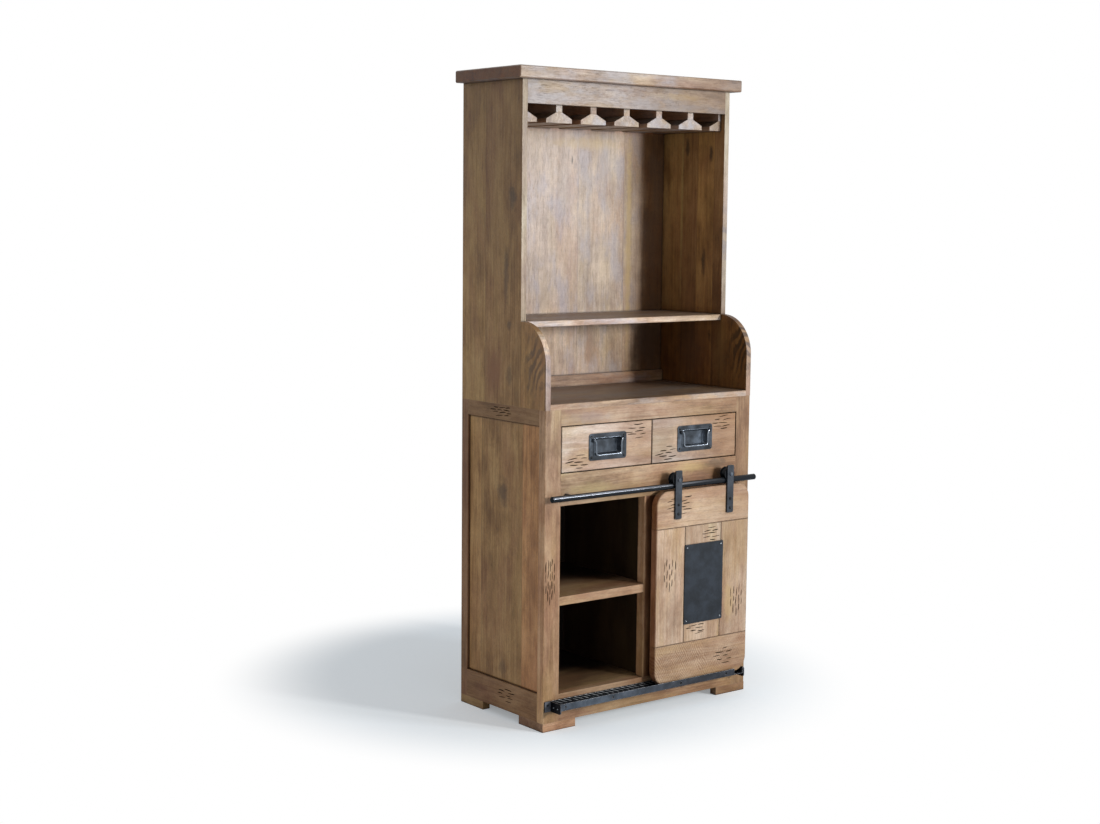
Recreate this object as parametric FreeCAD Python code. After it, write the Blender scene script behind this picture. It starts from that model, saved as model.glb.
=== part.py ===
import FreeCAD
import Part
import math
import os

from FreeCAD import Vector

# A free-standing wine cabinet: a closed base with two drawers and four compartments, one of
# them behind a sliding plank door, and an open hutch with a rack for stemmed glasses.
# Frame: X to the right, Y to the back, Z up. The origin lies on the floor, in the middle of the
# width and of the overall depth. All lengths are in millimetres.

# Whole cabinet
overall_height = 1900.0
body_width = 800.0
body_depth = 410.0
counter_height = 950.0
edge_ease = 1.5
overrun = 4.0

# Feet
foot_height = 25.0
foot_front_length = 120.0
foot_side_length = 115.0
foot_board = 25.0

# Face frame
face_thickness = 28.0
stile_width = 57.0
centre_stile_width = 50.0
bottom_rail_height = 81.0
middle_rail_height = 93.0
top_rail_height = 47.0
drawer_opening_height = 137.0

# Side frames and their panels
side_frame_thickness = 20.0
back_post_depth = 31.0
side_top_rail_height = 45.0
side_bottom_rail_height = 83.0
side_panel_thickness = 8.0
side_panel_recess = 8.0
panel_field_rise = 2.0
panel_bevel_width = 6.0
panel_tongue = 6.0

# Boards inside the base
board_thickness = 18.0
shelf_thickness = 25.0
lower_compartment_height = 260.0
back_panel_thickness = 8.0

# Counter and hutch
counter_thickness = 17.0
hutch_side_thickness = 18.0
hutch_setback = 119.0
hutch_shelf_clearance = 211.0
hutch_shelf_thickness = 18.0
upstand_height = 35.0
upstand_thickness = 12.0
slab_thickness = 35.0
slab_side_overhang = 28.0
slab_front_overhang = 26.0
slab_ease = 3.0
apron_height = 68.0
apron_thickness = 18.0

# Rack for stemmed glasses
glass_rail_spaces = 6
glass_rail_drop = 119.0
glass_rail_foot_width = 94.0
glass_rail_stem_width = 22.0
glass_rail_lip_height = 12.0
glass_rail_slope_height = 18.0

# Drawers
drawer_gap = 2.5
drawer_front_thickness = 22.0
drawer_side_thickness = 12.0
drawer_bottom_thickness = 6.0
drawer_bottom_rise = 6.0
drawer_back_clearance = 50.0
drawer_box_height = 100.0
drawer_running_gap = 0.3
guide_width = 14.0
guide_height = 20.0
guide_clearance = 1.0

# Recessed drawer pulls with a drop bail
pull_width = 140.0
pull_height = 78.0
pull_plate_thickness = 2.0
pull_corner_radius = 8.0
pull_window_width = 102.0
pull_window_height = 50.0
pull_window_corner = 4.0
pull_cup_depth = 14.0
pull_cup_wall = 1.5
pull_cup_taper = 6.0
pull_pocket_clearance = 0.5
bail_wire_radius = 2.5
bail_pivot_rise = 20.0
bail_pivot_standoff = 5.0
bail_drop = 44.0
bail_arm_half_width = 47.5
bail_bend_inset = 4.0
bail_arm_slope_height = 10.0
bail_bend_radius = 5.0
bail_corner_radius = 8.0
bail_wire_sides = 10
bail_pin_radius = 2.3
bail_pin_clearance = 0.06
bail_shoulder_gap = 0.3
bail_pin_end = 1.0
lug_width = 3.5
lug_height = 10.0
lug_reach = 9.0
lug_window_gap = 4.5
lug_nose_bevel = 2.0

# Sliding door, built of five planks
door_width = 376.0
door_thickness = 24.0
door_face_gap = 16.0
door_lap_top = 14.0
door_lap_bottom = 26.0
door_lap_side = 23.0
door_corner_radius = 45.0
door_top_plank_height = 113.0
door_bottom_plank_height = 121.0
door_left_plank_width = 114.0
door_right_plank_width = 115.0
door_edge_ease = 2.0

# Blank steel plate on the door
plate_width = 156.0
plate_height = 243.0
plate_thickness = 2.5
plate_corner_radius = 3.0
plate_drop = 170.0
plate_inset = 112.0

# Hangers, wheels and the round bar they run on
bar_radius = 9.0
bar_end_inset = 3.0
bar_door_gap = 4.0
bar_end_chamfer = 1.0
bar_fixing_inset = 78.0
spacer_radius = 8.0
spacer_seat_clearance = 0.05
fixing_shank_radius = 3.0
fixing_head_radius = 6.0
fixing_head_height = 4.0
fixing_hole_clearance = 0.1
fixing_bite = 8.0
strap_width = 25.0
strap_thickness = 5.0
strap_left_inset = 81.0
strap_right_inset = 84.0
strap_lap = 86.0
strap_head = 27.5
strap_corner_radius = 4.0
strap_screw_low = 15.0
strap_screw_pitch = 28.0
wheel_radius = 20.0
wheel_width = 21.0
wheel_axle_rise = 19.5
wheel_strap_gap = 0.5
groove_clearance = 0.3
groove_facets = 3
wheel_sides = 40
axle_radius = 4.0
axle_clearance = 0.06
axle_head_radius = 6.5
axle_head_height = 4.5
nut_across_flats = 13.0
nut_thickness = 5.0
nut_clearance = 0.1

# Screws of the straps, with a round head on a square shank
strap_screw_head_radius = 4.5
strap_screw_head_height = 3.0
strap_screw_shank_width = 4.8
strap_screw_length = 16.0
screw_hole_clearance = 0.1
dome_top_share = 0.7

# Steel track that guides the foot of the door
track_left_inset = 29.0
track_reach = 48.0
track_wall = 2.5
track_lap = 10.0
track_tab_drop = 5.0
track_floor_gap = 7.5
track_end_gap = 0.7
track_entry_length = 37.0
track_access_radius = 3.5
track_hole_shares = (0.025, 0.27, 0.64, 0.90)
bracket_reach = 50.0
bracket_plate_thickness = 3.0
bracket_drop = 10.0
bracket_leg_length = 21.0
bracket_corner_radius = 6.0

# Planes of the frame, worked out from the sizes above
door_front_reach = door_face_gap + door_thickness
hardware_reach = max(bracket_reach, door_front_reach + strap_thickness + axle_head_height)
overall_depth = body_depth + hardware_reach
back_y = overall_depth / 2
face_y = back_y - body_depth
left_x = -body_width / 2
right_x = body_width / 2
face_back_y = face_y + face_thickness
panel_front_y = back_y - back_panel_thickness
hutch_y = face_y + hutch_setback

# Heights
rail_bottom_z = foot_height
opening_bottom_z = rail_bottom_z + bottom_rail_height
base_top_z = counter_height - counter_thickness
drawer_opening_top_z = base_top_z - top_rail_height
drawer_opening_bottom_z = drawer_opening_top_z - drawer_opening_height
opening_top_z = drawer_opening_bottom_z - middle_rail_height
shelf_bottom_z = opening_bottom_z + lower_compartment_height
shelf_top_z = shelf_bottom_z + shelf_thickness
drawer_board_bottom_z = drawer_opening_bottom_z - board_thickness
hutch_shelf_bottom_z = counter_height + hutch_shelf_clearance
hutch_shelf_top_z = hutch_shelf_bottom_z + hutch_shelf_thickness
slab_bottom_z = overall_height - slab_thickness

# Inner faces of the base and of the hutch
base_inner_left_x = left_x + side_frame_thickness
base_inner_right_x = right_x - side_frame_thickness
hutch_inner_left_x = left_x + hutch_side_thickness
hutch_inner_right_x = right_x - hutch_side_thickness
opening_left_x = left_x + stile_width
opening_right_x = right_x - stile_width
centre_left_x = -centre_stile_width / 2
centre_right_x = centre_stile_width / 2

# Door and the bar, straps and wheels above it
door_right_x = opening_right_x + door_lap_side
door_left_x = door_right_x - door_width
door_top_z = opening_top_z + door_lap_top
door_bottom_z = opening_bottom_z - door_lap_bottom
door_front_y = face_y - door_front_reach
door_back_y = face_y - door_face_gap
bar_y = door_front_y + wheel_strap_gap + wheel_width / 2
bar_z = door_top_z + bar_door_gap + bar_radius
axle_z = bar_z + wheel_axle_rise
strap_front_y = door_front_y - strap_thickness
strap_centres_x = (door_left_x + strap_left_inset, door_right_x - strap_right_inset)
bar_fixings_x = (left_x + bar_fixing_inset, right_x - bar_fixing_inset)

# Track: its right end stands where the door's round corner passes over the bracket
track_left_x = left_x + track_left_inset
corner_rise = door_corner_radius - track_lap
corner_run = math.sqrt(door_corner_radius ** 2 - corner_rise ** 2)
track_right_x = door_right_x - door_corner_radius + corner_run + track_end_gap
track_length = track_right_x - track_left_x
track_top_z = door_bottom_z + track_lap
track_bottom_z = door_bottom_z - track_floor_gap - track_wall
track_holes_x = [track_left_x + share * track_length for share in track_hole_shares]
track_hole_z = (track_top_z + track_bottom_z) / 2

UP = Vector(0, 0, 1)
FORWARD = Vector(0, -1, 0)
BACK = Vector(0, 1, 0)
RIGHT = Vector(1, 0, 0)
AXES = {"x": 0, "y": 1, "z": 2}


def block(x0, x1, y0, y1, z0, z1):
    """A straight board between two corners."""
    return Part.makeBox(x1 - x0, y1 - y0, z1 - z0, Vector(x0, y0, z0))


def eased(shape, width, *planes):
    """Bevel the edges that lie in the given planes, each an axis letter and a coordinate."""
    chosen = []
    for edge in shape.Edges:
        ends = [vertex.Point for vertex in edge.Vertexes]
        for axis, value in planes:
            if all(math.isclose(end[AXES[axis]], value, abs_tol=1e-6) for end in ends):
                chosen.append(edge)
                break
    return shape.makeChamfer(width, chosen)


def front_eased(x0, x1, y0, y1, z0, z1, width=edge_ease):
    """A board whose front face has lightly beveled edges."""
    return eased(block(x0, x1, y0, y1, z0, z1), width, ("y", y0))


def rounded_plate(x0, x1, z0, z1, back, thickness, radius):
    """A flat plate in the XZ plane with round corners, from its back face forward."""
    x_in, x_out = x0 + radius, x1 - radius
    z_in, z_out = z0 + radius, z1 - radius
    diagonal = radius * math.sqrt(0.5)
    sides = [
        (Vector(x_in, back, z0), Vector(x_out, back, z0)),
        (Vector(x1, back, z_in), Vector(x1, back, z_out)),
        (Vector(x_out, back, z1), Vector(x_in, back, z1)),
        (Vector(x0, back, z_out), Vector(x0, back, z_in)),
    ]
    middles = [
        Vector(x_out + diagonal, back, z_in - diagonal),
        Vector(x_out + diagonal, back, z_out + diagonal),
        Vector(x_in - diagonal, back, z_out + diagonal),
        Vector(x_in - diagonal, back, z_in - diagonal),
    ]
    edges = []
    for index, (start, end) in enumerate(sides):
        following = sides[(index + 1) % len(sides)][0]
        edges.append(Part.makeLine(start, end))
        edges.append(Part.Arc(end, middles[index], following).toShape())
    return Part.Face(Part.Wire(edges)).extrude(FORWARD * thickness)


def outline_prism(points, direction):
    """A prism over a closed outline of straight sides."""
    return Part.Face(Part.makePolygon(points + points[:1])).extrude(direction)


def cylinder_forward(radius, length, x, back, z):
    """A cylinder along Y, from its back end forward."""
    return Part.makeCylinder(radius, length, Vector(x, back, z), FORWARD)


def hexagon_prism(across_flats, length, start, direction):
    """A six-sided prism along a direction."""
    corner = across_flats / math.sqrt(3)
    side = UP if abs(direction.dot(UP)) < 0.5 else RIGHT
    other = direction.cross(side)
    points = []
    for step in range(6):
        turn = math.radians(60 * step)
        points.append(start + side * (corner * math.cos(turn)) + other * (corner * math.sin(turn)))
    return outline_prism(points, direction * length)


def solid_through(rings):
    """A solid with flat sides through rings that all have the same number of points."""
    faces = [Part.Face(Part.makePolygon(ring + ring[:1])) for ring in (rings[0], rings[-1])]
    for ring, following in zip(rings, rings[1:]):
        for side in range(len(ring)):
            other = (side + 1) % len(ring)
            outline = [ring[side], ring[other], following[other], following[side], ring[side]]
            faces.append(Part.Face(Part.makePolygon(outline)))
    return Part.makeSolid(Part.makeShell(faces))


def low_head(seat, out, radius, height):
    """The head of a screw: seat is the point under it, out points away from the seat."""
    return Part.makeCone(radius, radius * dome_top_share, height, seat, out)


def domed_screw(seat, out, head_radius, head_height, shank_radius, shank_length):
    """A screw with a low head: seat is the point under the head, out points to the head."""
    shank = Part.makeCylinder(shank_radius, shank_length, seat - out * shank_length, out)
    return low_head(seat, out, head_radius, head_height).fuse(shank)


def square_shank(x, z, front_y, width, length):
    """The shank of a strap's screw, or the hole for it, from its front end back."""
    half = width / 2
    return block(x - half, x + half, front_y, front_y + length, z - half, z + half)


def strap_screw(x, z):
    """One of the screws that hold a strap to the door."""
    head = low_head(Vector(x, strap_front_y, z), FORWARD, strap_screw_head_radius, strap_screw_head_height)
    return head.fuse(square_shank(x, z, strap_front_y, strap_screw_shank_width, strap_screw_length))


def strap_screw_hole(x, z):
    """The square hole for one of those screws, open at the strap's face."""
    width = strap_screw_shank_width + 2 * screw_hole_clearance
    length = overrun + strap_screw_length + screw_hole_clearance
    return square_shank(x, z, strap_front_y - overrun, width, length)


def mirrored(shape):
    """The same piece on the other side of the cabinet."""
    return shape.mirror(Vector(0, 0, 0), RIGHT)


def foot(x_outer, x_sign, y_outer, y_sign):
    """A low corner foot of two boards, seen from above as an L."""
    long_x = x_outer - x_sign * foot_front_length
    short_x = x_outer - x_sign * foot_board
    long_y = y_outer - y_sign * foot_side_length
    short_y = y_outer - y_sign * foot_board
    points = [Vector(x_outer, y_outer, 0), Vector(long_x, y_outer, 0), Vector(long_x, short_y, 0),
              Vector(short_x, short_y, 0), Vector(short_x, long_y, 0), Vector(x_outer, long_y, 0)]
    return outline_prism(points, UP * foot_height)


def face_frame():
    """Stiles and rails of the front, flush with each other."""
    front, back = face_y, face_back_y
    stile = block(left_x, opening_left_x, front, back, rail_bottom_z, base_top_z)
    corner = [edge for edge in stile.Edges
              if math.isclose(edge.CenterOfMass.x, left_x) and math.isclose(edge.CenterOfMass.y, front)]
    stile = stile.makeChamfer(edge_ease, corner)
    middle_rail = block(opening_left_x, opening_right_x, front, back, opening_top_z, drawer_opening_bottom_z)
    for x in bar_fixings_x:
        hole_radius = fixing_shank_radius + fixing_hole_clearance
        middle_rail = middle_rail.cut(cylinder_forward(hole_radius, face_thickness + 2 * overrun, x,
                                                       back + overrun, bar_z))
    return {
        "stile_left": stile,
        "stile_right": mirrored(stile),
        "stile_centre": block(centre_left_x, centre_right_x, front, back, opening_bottom_z, opening_top_z),
        "front_rail_top": block(opening_left_x, opening_right_x, front, back,
                                drawer_opening_top_z, base_top_z),
        "front_rail_middle": middle_rail,
        "front_rail_bottom": block(opening_left_x, opening_right_x, front, back,
                                   rail_bottom_z, opening_bottom_z),
    }


def raised_field(y0, y1, z0, z1):
    """The raised middle of a side panel, with a bevel down to the edges that are given."""
    margin_x = left_x + side_panel_recess
    outlines = []
    for x, inset in ((margin_x, 0), (margin_x - panel_field_rise, panel_bevel_width)):
        corners = [Vector(x, y0 + inset, z0 + inset), Vector(x, y1 - inset, z0 + inset),
                   Vector(x, y1 - inset, z1 - inset), Vector(x, y0 + inset, z1 - inset)]
        outlines.append(Part.makePolygon(corners + corners[:1]))
    return Part.makeLoft(outlines, True, True)


def side_frame():
    """The left side of the base: back post, two rails and the panel let into their grooves."""
    inner_x = base_inner_left_x
    post_front_y = back_y - back_post_depth
    top_rail_z = base_top_z - side_top_rail_height
    bottom_rail_z = rail_bottom_z + side_bottom_rail_height
    panel_x = left_x + side_panel_recess
    panel = block(panel_x, panel_x + side_panel_thickness,
                  face_back_y, post_front_y + panel_tongue,
                  bottom_rail_z - panel_tongue, top_rail_z + panel_tongue)
    post = block(left_x, inner_x, post_front_y, back_y, rail_bottom_z, base_top_z)
    top_rail = block(left_x, inner_x, face_back_y, post_front_y, top_rail_z, base_top_z)
    bottom_rail = block(left_x, inner_x, face_back_y, post_front_y, rail_bottom_z, bottom_rail_z)
    return {
        "back_post": post.cut(panel),
        "side_rail_top": top_rail.cut(panel),
        "side_rail_bottom": bottom_rail.cut(panel),
        "side_panel": panel.fuse(raised_field(face_back_y, post_front_y, bottom_rail_z, top_rail_z)),
    }


def shelf(x0, x1, front_x0, front_x1):
    """A shelf whose front edge stands between the stiles, flush with them."""
    points = [Vector(front_x0, face_y, shelf_bottom_z), Vector(front_x1, face_y, shelf_bottom_z),
              Vector(front_x1, face_back_y, shelf_bottom_z), Vector(x1, face_back_y, shelf_bottom_z),
              Vector(x1, panel_front_y, shelf_bottom_z), Vector(x0, panel_front_y, shelf_bottom_z),
              Vector(x0, face_back_y, shelf_bottom_z), Vector(front_x0, face_back_y, shelf_bottom_z)]
    return outline_prism(points, UP * shelf_thickness)


def base_boards():
    """Boards inside the base: floor, divider, shelves, drawer board, guides and back."""
    x0, x1 = base_inner_left_x, base_inner_right_x
    y0, y1 = face_back_y, panel_front_y
    half = board_thickness / 2
    floor_z = opening_bottom_z - board_thickness
    guide_top_z = drawer_opening_bottom_z + guide_height
    guides = [block(x, x + guide_width, y0, y1, drawer_opening_bottom_z, guide_top_z)
              for x in (opening_left_x - guide_width, -guide_width / 2, opening_right_x)]
    return {
        "base_floor": block(x0, x1, y0, y1, floor_z, opening_bottom_z),
        "divider": block(-half, half, y0, y1, opening_bottom_z, drawer_board_bottom_z),
        "shelf_left": shelf(x0, -half, opening_left_x, centre_left_x),
        "shelf_right": shelf(half, x1, centre_right_x, opening_right_x),
        "drawer_board": block(x0, x1, y0, y1, drawer_board_bottom_z, drawer_opening_bottom_z),
        "drawer_guides": Part.makeCompound(guides),
        "base_back": block(x0, x1, panel_front_y, back_y, rail_bottom_z, base_top_z),
    }


def hutch_side():
    """The left side board of the hutch, with its round shoulder above the counter."""
    shoulder_z = hutch_shelf_top_z
    arc_start = Vector(left_x, face_y, shoulder_z - hutch_setback)
    arc_end = Vector(left_x, hutch_y, shoulder_z)
    centre = Vector(left_x, hutch_y, shoulder_z - hutch_setback)
    diagonal = hutch_setback * math.sqrt(0.5)
    arc_middle = centre + Vector(0, -diagonal, diagonal)
    corners = [Vector(left_x, back_y, slab_bottom_z), Vector(left_x, back_y, base_top_z),
               Vector(left_x, face_y, base_top_z)]
    edges = [Part.makeLine(arc_end, Vector(left_x, hutch_y, slab_bottom_z)),
             Part.makeLine(Vector(left_x, hutch_y, slab_bottom_z), corners[0]),
             Part.makeLine(corners[0], corners[1]),
             Part.makeLine(corners[1], corners[2]),
             Part.makeLine(corners[2], arc_start),
             Part.Arc(arc_start, arc_middle, arc_end).toShape()]
    return Part.Face(Part.Wire(edges)).extrude(RIGHT * hutch_side_thickness)


def hutch_boards():
    """Counter, shelf, back, upstand, apron and top slab of the hutch."""
    x0, x1 = hutch_inner_left_x, hutch_inner_right_x
    y0, y1 = hutch_y, panel_front_y
    slab = block(left_x - slab_side_overhang, right_x + slab_side_overhang,
                 hutch_y - slab_front_overhang, back_y, slab_bottom_z, overall_height)
    slab_edges = [edge for edge in slab.Edges if edge.CenterOfMass.y < back_y - slab_ease]
    upstand_y = y1 - upstand_thickness
    counter = block(x0, x1, face_y, upstand_y, base_top_z, counter_height)
    counter_front = [edge for edge in counter.Edges
                     if math.isclose(edge.CenterOfMass.y, face_y)
                     and math.isclose(edge.CenterOfMass.z, counter_height)]
    return {
        "counter": counter.makeChamfer(edge_ease, counter_front),
        "hutch_shelf": front_eased(x0, x1, y0, y1, hutch_shelf_bottom_z, hutch_shelf_top_z),
        "hutch_back": block(x0, x1, y1, back_y, base_top_z, slab_bottom_z),
        "upstand": block(x0, x1, upstand_y, y1, base_top_z, counter_height + upstand_height),
        "apron": block(x0, x1, y0, y0 + apron_thickness, slab_bottom_z - apron_height, slab_bottom_z),
        "top_slab": slab.makeChamfer(slab_ease, slab_edges),
    }


def glass_rail_part(x, has_left, has_right, outline):
    """One board of a glass rail: half its outline, bottom to top, on each side that it has."""
    y0 = hutch_y + apron_thickness
    points = [Vector(x + reach, y0, z) for reach, z in outline] if has_right else []
    if not (has_left and has_right):
        ends = [Vector(x, y0, outline[0][1]), Vector(x, y0, outline[-1][1])]
        points += ends[::-1] if has_right else ends
    if has_left:
        points += [Vector(x - reach, y0, z) for reach, z in reversed(outline)]
    return outline_prism(points, BACK * (panel_front_y - y0))


def glass_rack():
    """Rails that carry glasses by the foot: a half rail on each side board, full ones between."""
    pitch = (hutch_inner_right_x - hutch_inner_left_x) / glass_rail_spaces
    foot_z = slab_bottom_z - glass_rail_drop
    lip_z = foot_z + glass_rail_lip_height
    slope_z = lip_z + glass_rail_slope_height
    foot_reach = glass_rail_foot_width / 2
    stem_reach = glass_rail_stem_width / 2
    outlines = {
        "glass_rail_feet": [(foot_reach, foot_z), (foot_reach, lip_z), (stem_reach, slope_z)],
        "glass_rail_stems": [(stem_reach, slope_z), (stem_reach, slab_bottom_z)],
    }
    pieces = {}
    for name, outline in outlines.items():
        boards = []
        for index in range(glass_rail_spaces + 1):
            x = hutch_inner_left_x + index * pitch
            boards.append(glass_rail_part(x, index > 0, index < glass_rail_spaces, outline))
        pieces[name] = Part.makeCompound(boards)
    return pieces


def pull_centre(x0, x1):
    """The middle of a drawer front's face."""
    return Vector((x0 + x1) / 2, face_y, (drawer_opening_bottom_z + drawer_opening_top_z) / 2)


def cup_outline(centre, margin, y):
    """The window of a pull, grown by a margin: a rectangle with its corners cut off."""
    half_x = pull_window_width / 2 + margin
    half_z = pull_window_height / 2 + margin
    near_x = half_x - pull_window_corner
    near_z = half_z - pull_window_corner
    corners = [(half_x, near_z), (near_x, half_z), (-near_x, half_z), (-half_x, near_z),
               (-half_x, -near_z), (-near_x, -half_z), (near_x, -half_z), (half_x, -near_z)]
    return [Vector(centre.x + x, y, centre.z + z) for x, z in corners]


def cup_solid(centre, margin, depth):
    """The inside or outside of the cup: a tapered block behind the window of the plate."""
    sections = []
    for y, inset in ((0, 0), (depth, pull_cup_taper)):
        points = cup_outline(centre, margin - inset, centre.y + y)
        sections.append(Part.makePolygon(points + points[:1]))
    return Part.makeLoft(sections, True, True)


def pull(centre):
    """A pressed plate with a cup behind its window and two lugs for the bail."""
    half_x, half_z = pull_width / 2, pull_height / 2
    plate = rounded_plate(centre.x - half_x, centre.x + half_x, centre.z - half_z, centre.z + half_z,
                          centre.y, pull_plate_thickness, pull_corner_radius)
    outside = cup_solid(centre, pull_cup_wall, pull_cup_depth)
    inside = cup_solid(centre, 0, pull_cup_depth - pull_cup_wall)
    window = outline_prism(cup_outline(centre, 0, centre.y), FORWARD * (pull_plate_thickness + overrun))
    body = plate.fuse(outside).cut(inside).cut(window)
    pivot_z = centre.z + bail_pivot_rise
    front = centre.y - pull_plate_thickness
    pivot_y = front - bail_pivot_standoff
    hole_radius = bail_pin_radius + bail_pin_clearance
    for sign in (-1, 1):
        near = centre.x + sign * (pull_window_width / 2 + lug_window_gap)
        far = near + sign * lug_width
        x0, x1 = min(near, far), max(near, far)
        lug = block(x0, x1, front - lug_reach, front, pivot_z - lug_height / 2, pivot_z + lug_height / 2)
        nose = [edge for edge in lug.Edges
                if math.isclose(edge.CenterOfMass.y, front - lug_reach)
                and math.isclose(edge.CenterOfMass.x, (x0 + x1) / 2)]
        lug = lug.makeChamfer(lug_nose_bevel, nose)
        hole = Part.makeCylinder(hole_radius, lug_width + 2 * overrun,
                                 Vector(x0 - overrun, pivot_y, pivot_z), RIGHT)
        body = body.fuse(lug.cut(hole))
    return body.removeSplitter()


def bent_path(points, radii, facets):
    """Points along a path whose inner corners are rounded by short straight runs."""
    path = [points[0]]
    for index in range(1, len(points) - 1):
        corner = points[index]
        before = (corner - points[index - 1]).normalize()
        after = (points[index + 1] - corner).normalize()
        turn = before.getAngle(after)
        radius = radii[index - 1]
        inward = (after - before).normalize()
        centre = corner + inward * (radius / math.cos(turn / 2))
        for step in range(facets[index - 1] + 1):
            angle = turn * (step / facets[index - 1] - 0.5)
            path.append(centre - inward * (radius * math.cos(angle))
                        + (after + before).normalize() * (radius * math.sin(angle)))
    path.append(points[-1])
    return path


def flat_sided_wire(path, radius, sides):
    """A bent wire with flat sides, mitred at each point of its path, which lies in an XZ plane."""
    rings = []
    for index, point in enumerate(path):
        before = (point - path[max(index - 1, 0)]) if index else path[1] - point
        after = (path[index + 1] - point) if index + 1 < len(path) else before
        mitre = before.normalize() + after.normalize()
        across = mitre.normalize().cross(BACK)
        reach = radius / across.dot(before.cross(BACK).normalize())
        ring = []
        for side in range(sides):
            angle = 2 * math.pi * side / sides
            ring.append(point + across * (reach * math.cos(angle)) + BACK * (radius * math.sin(angle)))
        rings.append(ring)
    return solid_through(rings)


def bail(centre):
    """The drop handle: a bent wire with a turned-down pin at each end, in the lugs of the pull."""
    y = centre.y - pull_plate_thickness - bail_pivot_standoff
    top_z = centre.z + bail_pivot_rise
    lug_inner = pull_window_width / 2 + lug_window_gap
    shoulder_x = lug_inner - bail_shoulder_gap
    bend_x = lug_inner - bail_bend_inset
    slope_z = top_z - bail_arm_slope_height
    bar_bottom_z = top_z - bail_drop
    half = [(shoulder_x, top_z), (bend_x, top_z), (bail_arm_half_width, slope_z),
            (bail_arm_half_width, bar_bottom_z)]
    points = [Vector(centre.x - x, y, z) for x, z in half]
    points += [Vector(centre.x + x, y, z) for x, z in reversed(half)]
    bends = [bail_bend_radius, bail_bend_radius, bail_corner_radius]
    facets = [2, 1, 3]
    path = bent_path(points, bends + bends[::-1], facets + facets[::-1])
    wire = flat_sided_wire(path, bail_wire_radius, bail_wire_sides)
    pin_length = bail_shoulder_gap + lug_width + bail_pin_end
    for sign in (-1, 1):
        start = Vector(centre.x + sign * shoulder_x, y, top_z)
        wire = wire.fuse(Part.makeCylinder(bail_pin_radius, pin_length, start, RIGHT * sign))
    return wire


def drawer(x0, x1, box_x0, box_x1):
    """One drawer: front with the pocket for its pull, and the box behind it."""
    z0 = drawer_opening_bottom_z + drawer_gap
    z1 = drawer_opening_top_z - drawer_gap
    front_back_y = face_y + drawer_front_thickness
    front = front_eased(x0, x1, face_y, front_back_y, z0, z1)
    centre = pull_centre(x0, x1)
    pocket_margin = pull_cup_wall + pull_pocket_clearance
    pocket_depth = pull_cup_depth + pull_pocket_clearance
    pocket = outline_prism(cup_outline(centre, pocket_margin, face_y + pocket_depth),
                           FORWARD * (pocket_depth + overrun))
    front = front.cut(pocket)
    box_z0 = drawer_opening_bottom_z + drawer_running_gap
    box_z1 = box_z0 + drawer_box_height
    box_back_y = panel_front_y - drawer_back_clearance
    inner_x0 = box_x0 + drawer_side_thickness
    inner_x1 = box_x1 - drawer_side_thickness
    inner_back_y = box_back_y - drawer_side_thickness
    floor_z = box_z0 + drawer_bottom_rise
    box = Part.makeCompound([
        block(box_x0, inner_x0, front_back_y, box_back_y, box_z0, box_z1),
        block(inner_x1, box_x1, front_back_y, box_back_y, box_z0, box_z1),
        block(inner_x0, inner_x1, inner_back_y, box_back_y, box_z0, box_z1),
        block(inner_x0, inner_x1, front_back_y, inner_back_y, floor_z, floor_z + drawer_bottom_thickness),
    ])
    return {"front": front, "box": box, "pull": pull(centre), "bail": bail(centre)}


def drawers():
    """Two drawers side by side, with one gap between their fronts."""
    front_width = (opening_right_x - opening_left_x - 3 * drawer_gap) / 2
    box_outer = opening_left_x + guide_clearance
    box_inner = -guide_width / 2 - guide_clearance
    left_x0 = opening_left_x + drawer_gap
    right_x0 = left_x0 + front_width + drawer_gap
    pieces = {}
    for side, made in (("left", drawer(left_x0, left_x0 + front_width, box_outer, box_inner)),
                       ("right", drawer(right_x0, right_x0 + front_width, -box_inner, -box_outer))):
        for name, shape in made.items():
            pieces["drawer_" + side + "_" + name] = shape
    return pieces


def strap_screw_heights():
    """Heights of the two screws in each strap."""
    lowest = door_top_z - strap_lap + strap_screw_low
    return [lowest, lowest + strap_screw_pitch]


def plate_corners():
    """Left, right, bottom and top of the blank plate on the door."""
    x0 = door_left_x + plate_inset
    z1 = door_top_z - plate_drop
    return x0, x0 + plate_width, z1 - plate_height, z1


def end_plank(z0, z1, round_z):
    """The top or bottom plank of the door, with its two outer corners rounded."""
    plank = block(door_left_x, door_right_x, door_front_y, door_back_y, z0, z1)
    corners = [edge for edge in plank.Edges
               if math.isclose(edge.CenterOfMass.z, round_z)
               and math.isclose(edge.CenterOfMass.y, (door_front_y + door_back_y) / 2)]
    plank = plank.makeFillet(door_corner_radius, corners)
    return eased(plank, door_edge_ease, ("y", door_front_y))


def door_planks():
    """Five planks: a long one across the top and bottom, and three upright between them."""
    low_z = door_bottom_z + door_bottom_plank_height
    high_z = door_top_z - door_top_plank_height
    middle_x0 = door_left_x + door_left_plank_width
    middle_x1 = door_right_x - door_right_plank_width
    planks = {
        "top": end_plank(high_z, door_top_z, door_top_z),
        "bottom": end_plank(door_bottom_z, low_z, door_bottom_z),
    }
    for name, x0, x1 in (("left", door_left_x, middle_x0), ("middle", middle_x0, middle_x1),
                         ("right", middle_x1, door_right_x)):
        planks[name] = front_eased(x0, x1, door_front_y, door_back_y, low_z, high_z, door_edge_ease)
    for x in strap_centres_x:
        for z in strap_screw_heights():
            planks["top"] = planks["top"].cut(strap_screw_hole(x, z))
    return {"door_plank_" + name: shape for name, shape in planks.items()}


def door_plate():
    """The blank steel plate on the face of the door."""
    x0, x1, z0, z1 = plate_corners()
    return rounded_plate(x0, x1, z0, z1, door_front_y, plate_thickness, plate_corner_radius)


def strap_screws():
    """The screws of the straps, two in each."""
    screws = [strap_screw(x, z) for x in strap_centres_x for z in strap_screw_heights()]
    return Part.makeCompound(screws)


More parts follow.
